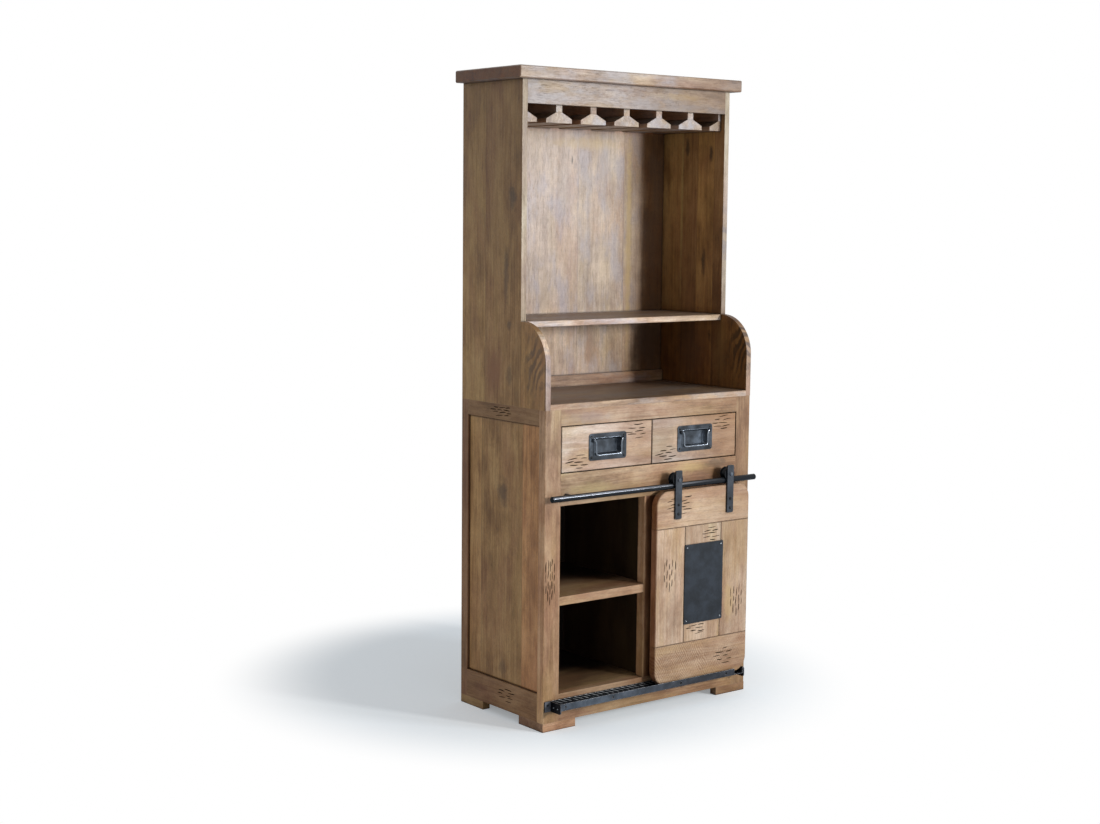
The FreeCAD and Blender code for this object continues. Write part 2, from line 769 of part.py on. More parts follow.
def strap(x):
    """A flat hanger bolted to the door, with the hole for its wheel's axle near the top."""
    half = strap_width / 2
    plate = rounded_plate(x - half, x + half, door_top_z - strap_lap, axle_z + strap_head,
                          door_front_y, strap_thickness, strap_corner_radius)
    axle_hole_radius = axle_radius + axle_clearance
    plate = plate.cut(cylinder_forward(axle_hole_radius, strap_thickness + 2 * overrun, x,
                                       door_front_y + overrun, axle_z))
    for z in strap_screw_heights():
        plate = plate.cut(strap_screw_hole(x, z))
    return plate


def wheel_profile():
    """Places along the axle and radii of the wheel's outside, with the groove in its middle."""
    half = wheel_width / 2
    groove_radius = bar_radius + groove_clearance
    step = math.pi / groove_facets
    corner = groove_radius / math.cos(step / 2)
    profile = [(-half, wheel_radius), (-groove_radius, wheel_radius)]
    for index in range(groove_facets):
        angle = step * (index + 0.5)
        profile.append((-corner * math.cos(angle), wheel_axle_rise - corner * math.sin(angle)))
    return profile + [(groove_radius, wheel_radius), (half, wheel_radius)]


def wheel(x):
    """A grooved wheel with many narrow flats, bored round for its axle."""
    turns = [2 * math.pi * side / wheel_sides for side in range(wheel_sides)]
    rings = []
    for along, reach in wheel_profile():
        rings.append([Vector(x + reach * math.cos(turn), bar_y + along, axle_z + reach * math.sin(turn))
                      for turn in turns])
    bore = cylinder_forward(axle_radius + axle_clearance, wheel_width + 2 * overrun, x,
                            bar_y + wheel_width / 2 + overrun, axle_z)
    return solid_through(rings).cut(bore)


def axle_bolts():
    """Each wheel's bolt, with its head before the strap, and the nut that ends it."""
    pieces = []
    wheel_back_y = bar_y + wheel_width / 2
    nut_front_y = wheel_back_y + wheel_strap_gap
    bolt_end_y = nut_front_y + nut_thickness
    for x in strap_centres_x:
        seat = Vector(x, strap_front_y, axle_z)
        pieces.append(domed_screw(seat, FORWARD, axle_head_radius, axle_head_height,
                                  axle_radius, bolt_end_y - strap_front_y))
        nut = hexagon_prism(nut_across_flats, nut_thickness, Vector(x, nut_front_y, axle_z), BACK)
        pieces.append(nut.cut(cylinder_forward(axle_radius + nut_clearance, nut_thickness + 2 * overrun, x,
                                               bolt_end_y + overrun, axle_z)))
    return Part.makeCompound(pieces)


def bar():
    """The round bar that carries the door, tapped from behind for its two screws."""
    length = body_width - 2 * bar_end_inset
    start = Vector(left_x + bar_end_inset, bar_y, bar_z)
    rod = Part.makeCylinder(bar_radius, length, start, RIGHT)
    ends = [edge for edge in rod.Edges if edge.Curve.TypeId == "Part::GeomCircle"]
    rod = rod.makeChamfer(bar_end_chamfer, ends)
    for x in bar_fixings_x:
        depth = fixing_bite + fixing_hole_clearance
        tip_y = bar_y + bar_radius - depth
        rod = rod.cut(cylinder_forward(fixing_shank_radius + fixing_hole_clearance, depth + overrun, x,
                                       tip_y + depth + overrun, bar_z))
    return rod


def bar_fixings():
    """Spacers between the face and the bar, saddle-cut to it, and the screws through them."""
    pieces = []
    seat_radius = bar_radius + spacer_seat_clearance
    saddle = Part.makeCylinder(seat_radius, body_width, Vector(left_x, bar_y, bar_z), RIGHT)
    screw_tip_y = bar_y + bar_radius - fixing_bite
    for x in bar_fixings_x:
        spacer = cylinder_forward(spacer_radius, face_y - bar_y, x, face_y, bar_z)
        bore = cylinder_forward(fixing_shank_radius + fixing_hole_clearance, face_y - bar_y + 2 * overrun,
                                x, face_y + overrun, bar_z)
        pieces.append(spacer.cut(saddle).cut(bore))
        seat = Vector(x, face_back_y, bar_z)
        pieces.append(domed_screw(seat, BACK, fixing_head_radius, fixing_head_height,
                                  fixing_shank_radius, face_back_y - screw_tip_y))
    return Part.makeCompound(pieces)


def track_channel():
    """A channel with a low tab at each end, its front wall cut away at the right for the door."""
    front_y = face_y - track_reach
    outer = block(track_left_x, track_right_x, front_y, face_y, track_bottom_z, track_top_z)
    inner = block(track_left_x + track_wall, track_right_x - track_wall,
                  front_y + track_wall, face_y - track_wall,
                  track_bottom_z + track_wall, track_top_z + overrun)
    entry = block(track_right_x - track_entry_length, track_right_x - track_wall,
                  front_y - overrun, front_y + track_wall,
                  track_bottom_z + track_wall, track_top_z + overrun)
    above_tabs = block(track_left_x - overrun, track_right_x + overrun,
                       front_y + track_wall, face_y - track_wall,
                       track_top_z - track_tab_drop, track_top_z + overrun)
    channel = outer.cut(inner).cut(entry).cut(above_tabs)
    for x in track_holes_x:
        channel = channel.cut(cylinder_forward(track_access_radius, track_wall + 2 * overrun, x,
                                               front_y + track_wall + overrun, track_hole_z))
    return channel


def track_bracket(sign, end_x):
    """An angle bracket: a leg on the face and a plate that closes the track's end."""
    plate_outer = end_x + sign * bracket_plate_thickness
    leg_end = plate_outer + sign * bracket_leg_length
    z0, z1 = track_bottom_z - bracket_drop, track_top_z
    plate = block(min(end_x, plate_outer), max(end_x, plate_outer),
                  face_y - bracket_reach, face_y, z0, z1)
    corners = [edge for edge in plate.Edges
               if math.isclose(edge.CenterOfMass.y, face_y - bracket_reach)
               and math.isclose(edge.CenterOfMass.x, (end_x + plate_outer) / 2)]
    plate = plate.makeFillet(bracket_corner_radius, corners)
    leg = block(min(plate_outer, leg_end), max(plate_outer, leg_end),
                face_y - bracket_plate_thickness, face_y, z0, z1)
    return plate.fuse(leg).removeSplitter()


def all_pieces():
    """Every piece of the cabinet by its name."""
    pieces = {}
    pieces.update(face_frame())
    for name, shape in side_frame().items():
        pieces[name + "_left"] = shape
        pieces[name + "_right"] = mirrored(shape)
    pieces.update(base_boards())
    for y_name, y_outer, y_sign in (("front", face_y, -1), ("rear", back_y, 1)):
        for x_name, x_outer, x_sign in (("left", left_x, -1), ("right", right_x, 1)):
            pieces["foot_" + y_name + "_" + x_name] = foot(x_outer, x_sign, y_outer, y_sign)
    pieces["hutch_side_left"] = hutch_side()
    pieces["hutch_side_right"] = mirrored(hutch_side())
    pieces.update(hutch_boards())
    pieces.update(glass_rack())
    pieces.update(drawers())
    pieces.update(door_planks())
    pieces["door_plate"] = door_plate()
    pieces["strap_screws"] = strap_screws()
    for name, x in zip(("left", "right"), strap_centres_x):
        pieces["strap_" + name] = strap(x)
        pieces["wheel_" + name] = wheel(x)
    pieces["axle_bolts"] = axle_bolts()
    pieces["door_bar"] = bar()
    pieces["bar_fixings"] = bar_fixings()
    pieces["track_channel"] = track_channel()
    pieces["track_bracket_left"] = track_bracket(-1, track_left_x)
    pieces["track_bracket_right"] = track_bracket(1, track_right_x)
    return pieces


os.makedirs("parts", exist_ok=True)
for piece_name, piece_shape in all_pieces().items():
    piece_shape.exportStep("parts/" + piece_name + ".step")
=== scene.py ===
import logging
import math
import random
from dataclasses import dataclass
from enum import Enum
from typing import Any, Callable, Sequence

import bmesh
import bpy
from bpy.types import ColorRamp, Material, Node, NodeSocket, Object, World
from mathutils import Matrix, Vector


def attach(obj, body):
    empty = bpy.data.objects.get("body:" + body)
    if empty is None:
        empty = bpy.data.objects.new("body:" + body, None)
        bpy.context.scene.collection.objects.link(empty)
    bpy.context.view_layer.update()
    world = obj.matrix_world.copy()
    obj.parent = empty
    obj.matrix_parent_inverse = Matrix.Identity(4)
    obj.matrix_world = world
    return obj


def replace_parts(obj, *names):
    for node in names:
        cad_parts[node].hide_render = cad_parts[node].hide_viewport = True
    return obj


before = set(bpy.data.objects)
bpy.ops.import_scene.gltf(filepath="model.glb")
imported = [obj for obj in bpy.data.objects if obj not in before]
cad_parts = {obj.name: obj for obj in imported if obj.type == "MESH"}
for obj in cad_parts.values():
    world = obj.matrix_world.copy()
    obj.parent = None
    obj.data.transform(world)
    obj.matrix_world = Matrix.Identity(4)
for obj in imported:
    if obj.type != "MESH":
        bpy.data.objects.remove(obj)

Colour = tuple[float, float, float]
Point = tuple[float, float, float]
Stops = Sequence[tuple[float, Colour]]
Faces = tuple[tuple[Point, Colour], ...]
Values = dict[str | int, Any]

log = logging.getLogger("wine_cabinet")

RIGHTWARD: Point = (1.0, 0.0, 0.0)
LEFTWARD: Point = (-1.0, 0.0, 0.0)
BACKWARD: Point = (0.0, 1.0, 0.0)
FRONTWARD: Point = (0.0, -1.0, 0.0)
UPWARD: Point = (0.0, 0.0, 1.0)
DOWNWARD: Point = (0.0, 0.0, -1.0)
WHITE: Colour = (1.0, 1.0, 1.0)

# Rays that shaders take at each point, and how far a rounded normal leans over an edge
AIR_RAYS = 6
EDGE_RAYS = 4
EDGE_BEND = (0.995, 0.8)
# Lengths in metres: rounded edges, how far the painted shade of corners and hollows spreads, the depth of
# reliefs, a glued joint's dark line
WOOD_EDGE = 0.0016
SEAM_EDGE = 0.0032
STEEL_EDGE = 0.0009
CORNER_REACH = 0.007
HOLLOW_REACH = 0.045
WOOD_RELIEF = 0.0007
STEEL_RELIEF = 0.0003
JOINT_LINE = (0.0003, 0.0012)
# How far apart the wood of two boards or of two staves can lie, and how much its grain sways
BOARD_SHIFT = 4.0
STAVE_SHIFT = 9.0
GRAIN_SWAY = 0.035
RINGS_PER_BAND = 46.0
# How deep a patch reaches into a board
PATCH_DEPTH = 0.1
# A chisel stroke's sections, each from side to side: shares of its half width, with heights
STROKE_SECTIONS = 7
STROKE_SHAPE = ((-1.0, 0.00002), (-0.78, 0.00016), (0.0, 0.00006), (0.78, 0.00016), (1.0, 0.00002))
# A screw's head: how deep it is sunk, its sides, and its profile as shares of its radius and height
HEAD_SUNK = 0.0004
HEAD_SIDES = 28
HEAD_SHAPE = ((1.0, 0.3), (0.93, 0.58), (0.76, 0.82), (0.55, 0.96), (0.44, 1.0), (0.4, 0.94), (0.36, 0.35),
              (0.02, 0.3))
SHARP_ANGLE = math.radians(38)
WELD_DISTANCE = 1e-7


def grey(level: float) -> Colour:
    """A grey of some level."""
    return (level, level, level)


def shade(colour: Colour, amount: float) -> Colour:
    """A colour made darker or lighter."""
    return tuple(part * amount for part in colour)


# ---- shader writing


def operator(operation: str, reflected: bool = False) -> Callable[["Wire", "Wire | float"], "Wire"]:
    """Make an operator of Wire from a Math node's operation, with the wire second if it is reflected."""
    return lambda wire, other: wire.sheet.maths(operation, *((other, wire) if reflected else (wire, other)))


class Wire:
    """An output of a shader node that can be used in a Python expression."""

    __add__, __radd__ = operator("ADD"), operator("ADD", True)
    __sub__, __rsub__ = operator("SUBTRACT"), operator("SUBTRACT", True)
    __mul__, __rmul__ = operator("MULTIPLY"), operator("MULTIPLY", True)
    __truediv__, __rtruediv__ = operator("DIVIDE"), operator("DIVIDE", True)

    def __init__(self, sheet: "ShaderSheet", socket: NodeSocket) -> None:
        """Keep the sheet and the socket that the wire comes from."""
        self.sheet = sheet
        self.socket = socket

    def __abs__(self) -> "Wire":
        """Absolute value."""
        return self.sheet.maths("ABSOLUTE", self)


class ShaderSheet:
    """The node tree of one material or of the world, written from Python."""

    def __init__(self, owner: Material | World) -> None:
        """Take over and empty the node tree of a material or of the world."""
        owner.use_nodes = True
        self.owner = owner
        self.tree = owner.node_tree
        self.tree.nodes.clear()

    @classmethod
    def for_material(cls, name: str) -> "ShaderSheet":
        """Start a new material."""
        return cls(bpy.data.materials.new(name))

    def node(self, kind: str, settings: dict[str, Any] | None = None,
             inputs: Values | None = None) -> Node:
        """Add any node: its settings first, then its sockets.

        Args:
            kind: The node's type, without "ShaderNode" before it.
            settings: Attributes of the node; "stops" and "interpolation" are those of a ramp.
            inputs: Values or wires for its sockets, by name or number.

        Returns:
            The new node.
        """
        made = self.tree.nodes.new("ShaderNode" + kind)
        for name, value in (settings or {}).items():
            if name == "stops":
                self._set_stops(made.color_ramp, value)
            elif name == "interpolation":
                made.color_ramp.interpolation = value
            else:
                setattr(made, name, value)
        for key, value in (inputs or {}).items():
            socket = made.inputs[key]
            if isinstance(value, Wire):
                self.tree.links.new(value.socket, socket)
            elif socket.type == "RGBA" and len(value) == 3:
                socket.default_value = (*value, 1.0)
            else:
                socket.default_value = value
        return made

    @staticmethod
    def _set_stops(ramp: ColorRamp, stops: Stops) -> None:
        """Give a ramp its stops.

        Args:
            ramp: The ramp.
            stops: Positions and colours, from low to high.
        """
        while len(ramp.elements) < len(stops):
            ramp.elements.new(1.0)
        for element, (position, colour) in zip(ramp.elements, stops):
            element.position = position
            element.color = (*colour, 1.0)

    def wire(self, kind: str, output: str | int = 0, settings: dict[str, Any] | None = None,
             inputs: Values | None = None) -> Wire:
        """Add a node and take one of its outputs."""
        return Wire(self, self.node(kind, settings, inputs).outputs[output])

    def maths(self, operation: str, *values: Wire | float) -> Wire:
        """Add a Math node."""
        return self.wire("Math", 0, {"operation": operation}, dict(enumerate(values)))

    def vector(self, operation: str, *values: Wire | Point) -> Wire:
        """Add a Vector Math node, of which the result is a vector."""
        return self.wire("VectorMath", "Vector", {"operation": operation}, dict(enumerate(values)))

    def along(self, vector: Wire, direction: Wire | Point) -> Wire:
        """How far a vector reaches along a direction."""
        return self.wire("VectorMath", "Value", {"operation": "DOT_PRODUCT"}, {0: vector, 1: direction})

    def normal(self, kind: str = "True Normal") -> Wire:
        """The way that the face looks, or its smooth Normal."""
        return self.wire("NewGeometry", kind)

    def length(self, vector: Wire) -> Wire:
        """How long a vector is."""
        return self.wire("VectorMath", "Value", {"operation": "LENGTH"}, {0: vector})

    def scaled(self, vector: Wire | Point, amount: Wire | float) -> Wire:
        """Multiply a vector or colour by a number."""
        return self.wire("VectorMath", "Vector", {"operation": "SCALE"}, {0: vector, "Scale": amount})

    def blend(self, factor: Wire | float, first: Wire, second: Wire | Colour, mode: str = "MIX") -> Wire:
        """Lay some share of a second colour over the first."""
        settings = {"data_type": "RGBA", "blend_type": mode}
        return self.wire("Mix", 2, settings, {0: factor, 6: first, 7: second})

    def between(self, value: Wire, low: float, high: float, start: float = 0.0, end: float = 1.0) -> Wire:
        """Turn the range from low to high smoothly into start to end, held beyond its ends."""
        settings = {"interpolation_type": "SMOOTHSTEP", "clamp": True}
        return self.wire("MapRange", 0, settings, {0: value, 1: low, 2: high, 3: start, 4: end})

    def ramp(self, factor: Wire, stops: Stops, interpolation: str = "LINEAR") -> Wire:
        """Colour a value by a ramp."""
        settings = {"stops": stops, "interpolation": interpolation}
        return self.wire("ValToRGB", "Color", settings, {"Fac": factor})

    def noise(self, place: Wire, scale: float, detail: float, roughness: float) -> Wire:
        """Add a noise, about 0.5 on average, with a number and strength of finer layers in it."""
        return self.wire("TexNoise", "Fac", {},
                         {"Vector": place, "Scale": scale, "Detail": detail, "Roughness": roughness})

    def object_place(self) -> Wire:
        """The place on the object, in metres."""
        return self.wire("TexCoord", "Object")

    def open_to_air(self, distance: float) -> Wire:
        """How open a point is within a distance, from 0 in a corner to 1."""
        return self.wire("AmbientOcclusion", "AO", {"samples": AIR_RAYS}, {"Distance": distance})

    def bump(self, strength: float, distance: float, height: Wire, normal: Wire) -> Wire:
        """Turn heights into a normal."""
        return self.wire("Bump", 0, {}, {"Strength": strength, "Distance": distance,
                                                   "Height": height, "Normal": normal})

    def edge(self, radius: float) -> tuple[Wire, Wire]:
        """The normal rounded near edges, and a mask that rises to 1 there."""
        rounded = self.wire("Bevel", "Normal", {"samples": EDGE_RAYS}, {"Radius": radius})
        return rounded, self.between(self.along(rounded, self.normal("Normal")), *EDGE_BEND)

    def light(self, kind: str, colour: Colour, strength: float = 1.0) -> Wire:
        """Add an Emission or a Background shader."""
        return self.wire(kind, 0, {}, {"Color": colour, "Strength": strength})

    def either(self, factor: Wire, first: Wire, second: Wire) -> Wire:
        """Add a Mix Shader."""
        return self.wire("MixShader", 0, {}, {0: factor, 1: first, 2: second})

    def looking(self, direction: Point, low: float, high: float) -> Wire:
        """A mask of the faces that look in a direction."""
        return self.between(self.along(self.normal(), direction), low, high)

    def finish(self, values: Values) -> Material:
        """End the material with a Principled shader that has these values."""
        self.node("OutputMaterial", {}, {"Surface": self.wire("BsdfPrincipled", 0, {}, values)})
        return self.owner


# ---- finishes


class Axis(Enum):
    """An axis of the cabinet: to the right, to the back or up."""

    X = 0
    Y = 1
    Z = 2

    @property
    def unit(self) -> Point:
        """The unit vector along the axis."""
        return tuple(1.0 if axis is self else 0.0 for axis in Axis)


@dataclass(frozen=True)
class Staves:
    """Narrow boards glued side by side into a wide one."""

    across: Axis
    edges: tuple[float, ...]
    tints: tuple[Colour, ...]

    def stops(self, values: Sequence[Colour]) -> list[tuple[float, Colour]]:
        """Ramp stops that hold one value over each stave's width."""
        low, high = self.edges[0], self.edges[-1]
        return [((edge - low) / (high - low), value) for edge, value in zip(self.edges, values)]


@dataclass(frozen=True)
class Patch:
    """A knot, smudge or patch of another colour in a board; some patches paint a shadow and some paint sheen.
    """

    place: Point
    reach: Point
    colour: Colour
    strength: float
    curly: bool = False


def patches_on(across: Axis, level: float, *rows: tuple[Any, ...]) -> tuple[Patch, ...]:
    """Patches on the face that lies across an axis.

    Args:
        across: The axis.
        level: Where the face lies on it.
        rows: For each patch its two other coordinates, its reach in both, its colour, its strength
            and, where it has a curly figure, True.

    Returns:
        The patches.
    """
    made = []
    for *numbers, colour, strength, curly in (row if row[-1] is True else (*row, False) for row in rows):
        place, reach = numbers[:2], numbers[2:]
        place.insert(across.value, level)
        reach.insert(across.value, PATCH_DEPTH)
        made.append(Patch(tuple(place), tuple(reach), colour, strength, curly))
    return tuple(made)


@dataclass(frozen=True)
class Fade:
    """A slow change of a piece's colour along one direction, mostly used to paint light, shade and sheen across
    a piece.
    """

    direction: Point
    start: float
    end: float
    factor: Colour
    drift: float = 0.12


@dataclass
class Coat:
    """The colour of a surface while it is built up, layer over layer."""

    sheet: ShaderSheet
    place: Wire
    colour: Wire

    def lay(self, share: Wire | float, other: Wire | Colour) -> None:
        """Lay some share of another colour over it."""
        self.colour = self.sheet.blend(share, self.colour, other)

    def tint(self, factor: Wire | Colour, share: Wire | float = 1.0) -> None:
        """Multiply some share of it by a colour."""
        self.colour = self.sheet.blend(share, self.colour, factor, "MULTIPLY")

    def dim(self, amount: Wire) -> None:
        """Multiply it by a number."""
        self.colour = self.sheet.scaled(self.colour, amount)

    def fade(self, fade: Fade) -> None:
        """Change it slowly along one direction."""
        drift = (self.sheet.noise(self.place, 6.0, 2.0, 0.5) - 0.5) * fade.drift
        reach = self.sheet.along(self.place, fade.direction) + drift
        self.tint(fade.factor, self.sheet.between(reach, fade.start, fade.end))

    def face(self, faces: Faces) -> None:
        """Multiply it on the faces that look in some directions, each by its factor: mostly painted light and
        shade, so that lit and shaded faces of one board differ.
        """
        for direction, factor in faces:
            self.tint(factor, self.sheet.looking(direction, 0.55, 0.85))


@dataclass(frozen=True)
class Board:
    """How one CAD piece is cut from the wood: its grain, its tone, its staves and its marks."""

    node: str
    grain: Axis
    tone: float = 1.0
    tint: Colour = WHITE
    staves: Staves | None = None
    figure: float = 0.0
    # Fades, faces and some patches paint light, shade and sheen
    fades: tuple[Fade, ...] = ()
    faces: Faces = ()
    patches: tuple[Patch, ...] = ()
    # Darkened edges: stain build-up and painted shade of the gap
    seam: float = 0.0
    shown: Point | None = None


@dataclass(frozen=True)
class Layer:
    """A noise in the wood: how fine it is across and along the grain, and how rough."""

    across: float
    along: float
    detail: float = 3.0
    roughness: float = 0.6


@dataclass(frozen=True)
class Timber:
    """A place in a piece of wood, with the axis that its grain follows."""

    sheet: ShaderSheet
    place: Wire
    grain: Axis

    def noise(self, layer: Layer) -> Wire:
        """A noise that is drawn out along the grain."""
        stretch = tuple(layer.along if axis is self.grain else layer.across for axis in Axis)
        place = self.sheet.vector("MULTIPLY", self.place, stretch)
        return self.sheet.noise(place, 1.0, layer.detail, layer.roughness)

    def moved(self, way: Point | Wire) -> "Timber":
        """Another place in the same wood."""
        return Timber(self.sheet, self.sheet.vector("ADD", self.place, way), self.grain)


BANDS = Layer(24.0, 1.2, 3.0, 0.55)
CLOUDS = Layer(6.0, 2.6, 3.0, 0.55)
FIBRES = Layer(420.0, 8.0, 3.0, 0.65)
FLECKS = Layer(900.0, 38.0, 1.0, 0.5)
SCRATCHES = Layer(28.0, 300.0, 4.0, 0.65)
SPECKLES = Layer(420.0, 170.0, 3.0, 0.7)
STREAKS = Layer(34.0, 1.9, 4.0, 0.65)
SWAY = Layer(6.0, 1.5, 2.0, 0.5)
THREADS = Layer(110.0, 4.0)


@dataclass(frozen=True)
class WoodFinish:
    """Waxed mango wood with cloudy stain, streaks and pores; pale edges from wearing and painted highlight, a
    milky film that partly paints sheen, and painted shade in corners and hollows.
    """

    deep: Colour
    middle: Colour
    pale: Colour
    stain: Colour = (0.085, 0.045, 0.022)
    blush: Colour = (0.36, 0.16, 0.085)
    blush_share: float = 0.35
    honey: Colour = (0.5, 0.33, 0.13)
    honey_share: float = 0.3
    # Greyish clouds: a milky film that partly paints sheen
    haze_and_sheen: Colour = (0.42, 0.38, 0.39)
    haze_and_sheen_share: float = 0.0
    streak_share: float = 0.35
    blotch: tuple[float, float] = (16.0, 8.0)
    scratch_share: float = 0.0
    speckle_share: float = 0.65
    pore_share: float = 0.3
    sawn_share: float = 0.4
    # Pale edges: wearing and painted edge highlight
    rub_and_highlight_share: float = 0.45
    # Painted shade: darker in tight corners and in hollows
    corner_painted_shade: float = 0.85
    hollow_painted_shade: float = 0.18
    roughness: float = 0.42
    gloss: float = 0.4

    def material(self, board: Board) -> Material:
        """Write the wood of one board.

        Args:
            board: The board's grain, tone, staves and marks.

        Returns:
            Its material.
        """
        sheet = ShaderSheet.for_material("wood_" + board.node)
        place = sheet.object_place()
        timber, tint = self._laid_out(Timber(sheet, place, board.grain), board)
        bands, rings, fibre, flecks = self._grain(timber)
        mottle = timber.noise(Layer(*self.blotch, 5.0, 0.62))
        tone = (mottle * 0.42 + timber.noise(CLOUDS) * 0.24 + bands * 0.1 + timber.noise(THREADS) * 0.11
                + fibre * 0.08 + rings * 0.05)
        if board.figure:
            tone = tone + self._figure(sheet, timber.place) * board.figure
        coat = Coat(sheet, place, sheet.ramp(sheet.between(tone, 0.36, 0.64),
                                             [(0.0, self.deep), (0.5, self.middle), (1.0, self.pale)]))
        self._cloud(timber, coat)
        coat.lay(sheet.between(timber.noise(STREAKS), 0.58, 0.74) * self.streak_share, self.stain)
        pores = sheet.between(flecks, 0.58, 0.68)
        coat.dim(1.0 - pores * self.pore_share)
        for layer, share in ((SPECKLES, self.speckle_share), (SCRATCHES, self.scratch_share)):
            if share:
                coat.dim(1.0 + (timber.noise(layer) - 0.5) * share)
        coat.tint(tint)
        self._mark(coat, board)
        sawn = sheet.between(abs(sheet.along(sheet.normal(), board.grain.unit)), 0.7, 0.95)
        holes = sheet.between(sheet.noise(timber.place, 620.0, 2.0, 0.6), 0.5, 0.62)
        coat.dim(1.0 - sawn * holes * self.sawn_share)
        rounded, edge = sheet.edge(SEAM_EDGE if board.seam else WOOD_EDGE)
        self._wear_and_painted_shade(coat, edge, board.seam)
        bump = sheet.bump(0.35, WOOD_RELIEF, fibre * 0.6 + mottle * 0.5 - pores * 0.7, rounded)
        rough = self.roughness + fibre * 0.16 + mottle * 0.2 - 0.18
        return sheet.finish({"Base Color": coat.colour, "Roughness": rough, "Normal": bump,
                             "Specular IOR Level": self.gloss})

    @staticmethod
    def _laid_out(timber: Timber, board: Board) -> tuple[Timber, Wire | Colour]:
        """Give each board and stave wood of its own.

        Args:
            timber: The place on the object.
            board: The board.

        Returns:
            The place in the wood, and the tint to multiply the colour by.
        """
        sheet = timber.sheet
        chance = random.Random(board.node)
        moved = timber.moved(tuple(chance.uniform(-BOARD_SHIFT, BOARD_SHIFT) for _ in range(3)))
        whole = shade(board.tint, board.tone)
        staves = board.staves
        if staves is None:
            return moved, whole
        across = sheet.wire("SeparateXYZ", staves.across.value, {}, {0: timber.place})
        low, high = staves.edges[0], staves.edges[-1]
        share = (across - low) / (high - low)
        tints = [tuple(part * other for part, other in zip(tint, whole)) for tint in staves.tints]
        steps = [tuple(chance.uniform(0.0, 1.0) for _ in range(3)) for _ in tints]
        tint = sheet.ramp(share, staves.stops(tints), "CONSTANT")
        step = sheet.ramp(share, staves.stops(steps), "CONSTANT")
        for edge in staves.edges[1:-1]:
            tint = sheet.scaled(tint, sheet.between(abs(across - edge), *JOINT_LINE, 0.6, 1.0))
        return moved.moved(sheet.scaled(step, STAVE_SHIFT)), tint

    @staticmethod
    def _grain(timber: Timber) -> tuple[Wire, Wire, Wire, Wire]:
        """Growth bands, rings, fibres and pore flecks, all bent a little together.

        Args:
            timber: The place in the wood.

        Returns:
            The four layers.
        """
        sheet = timber.sheet
        sideways = tuple(1.0 - part for part in timber.grain.unit)
        bent = timber.moved(sheet.scaled(sideways, (timber.noise(SWAY) - 0.5) * GRAIN_SWAY))
        bands = bent.noise(BANDS)
        rings = sheet.maths("SINE", bands * RINGS_PER_BAND) * 0.5 + 0.5
        return bands, rings, bent.noise(FIBRES), bent.noise(FLECKS)

    @staticmethod
    def _figure(sheet: ShaderSheet, place: Wire) -> Wire:
        """Slanted ripples across the grain, as on a figured board.

        Args:
            sheet: The material's sheet.
            place: The place in the wood.

        Returns:
            The ripples, about 0 on average.
        """
        turned = sheet.wire("VectorRotate", 0, {"rotation_type": "Y_AXIS"},
                            {"Vector": place, "Angle": 0.5})
        sway = sheet.noise(place, 7.0, 3.0, 0.6)
        ripple = sheet.wire("TexWave", "Fac", {"bands_direction": "X"},
                            {"Vector": sheet.vector("ADD", turned, sheet.scaled((0.05, 0.0, 0.05), sway)),
                             "Scale": 52.0, "Distortion": 3.5, "Detail": 3.0, "Detail Scale": 1.4})
        return (ripple - 0.5) * sheet.between(sway, 0.38, 0.58)

    def _cloud(self, timber: Timber, coat: Coat) -> None:
        """Let the stain drift to reddish and yellowish in soft clouds, and to greyish clouds of a milky film
        that partly paint sheen.

        Args:
            timber: The place in the wood.
            coat: The colour so far.
        """
        clouds = ((self.blush, self.blush_share, Layer(9.0, 3.0, 4.0), 3.1),
                  (self.honey, self.honey_share, Layer(13.0, 3.2, 4.0), 11.7),
                  (self.haze_and_sheen, self.haze_and_sheen_share, Layer(15.0, 6.0, 4.0), 23.9))
        for other, share, layer, shift in clouds:
            if share:
                coat.lay(coat.sheet.between(timber.moved(grey(shift)).noise(layer), 0.44, 0.66) * share, other)

    def _mark(self, coat: Coat, board: Board) -> None:
        """Lay the board's own patches, fades and faced colours over its wood; many of them paint light, shade
        and sheen.

        Args:
            coat: The colour so far.
            board: The board.
        """
        plain = coat.colour
        for patch in board.patches:
            self._patch(coat, patch)
        for fade in board.fades:
            coat.fade(fade)
        if board.shown:
            coat.colour = coat.sheet.blend(coat.sheet.looking(board.shown, 0.2, 0.6), plain, coat.colour)
        coat.face(board.faces)

    @staticmethod
    def _patch(coat: Coat, patch: Patch) -> None:
        """Lay a soft-edged patch over the colour.

        Args:
            coat: The colour so far.
            patch: The patch.
        """
        sheet = coat.sheet
        offset = sheet.vector("DIVIDE", sheet.vector("SUBTRACT", coat.place, patch.place), patch.reach)
        broken = sheet.length(offset) + (sheet.noise(coat.place, 45.0, 4.0, 0.65) - 0.5) * 1.6
        mask = sheet.between(broken, 1.2, 0.25) * patch.strength
        if patch.curly:
            wave = sheet.wire("TexWave", "Fac", {"wave_type": "RINGS", "rings_direction": "SPHERICAL"},
                              {"Vector": sheet.vector("ADD", offset, (0.9, 1.1, 1.4)), "Scale": 1.1,
                               "Distortion": 9.0, "Detail": 4.0, "Detail Scale": 0.9})
            mask = mask * sheet.between(wave, 0.25, 0.75)
        coat.lay(mask, patch.colour)

    def _wear_and_painted_shade(self, coat: Coat, edge: Wire, seam: float) -> None:
        """Make the edges pale from wearing and painted highlight, or darken them where they are seams as stain
        build-up and painted gap shade, and darken corners and hollows as painted shade.

        Args:
            coat: The colour so far.
            edge: The mask of the edges.
            seam: How dark the edges are made, as stain build-up and painted gap shade, with 0 for pale edges.
        """
        sheet = coat.sheet
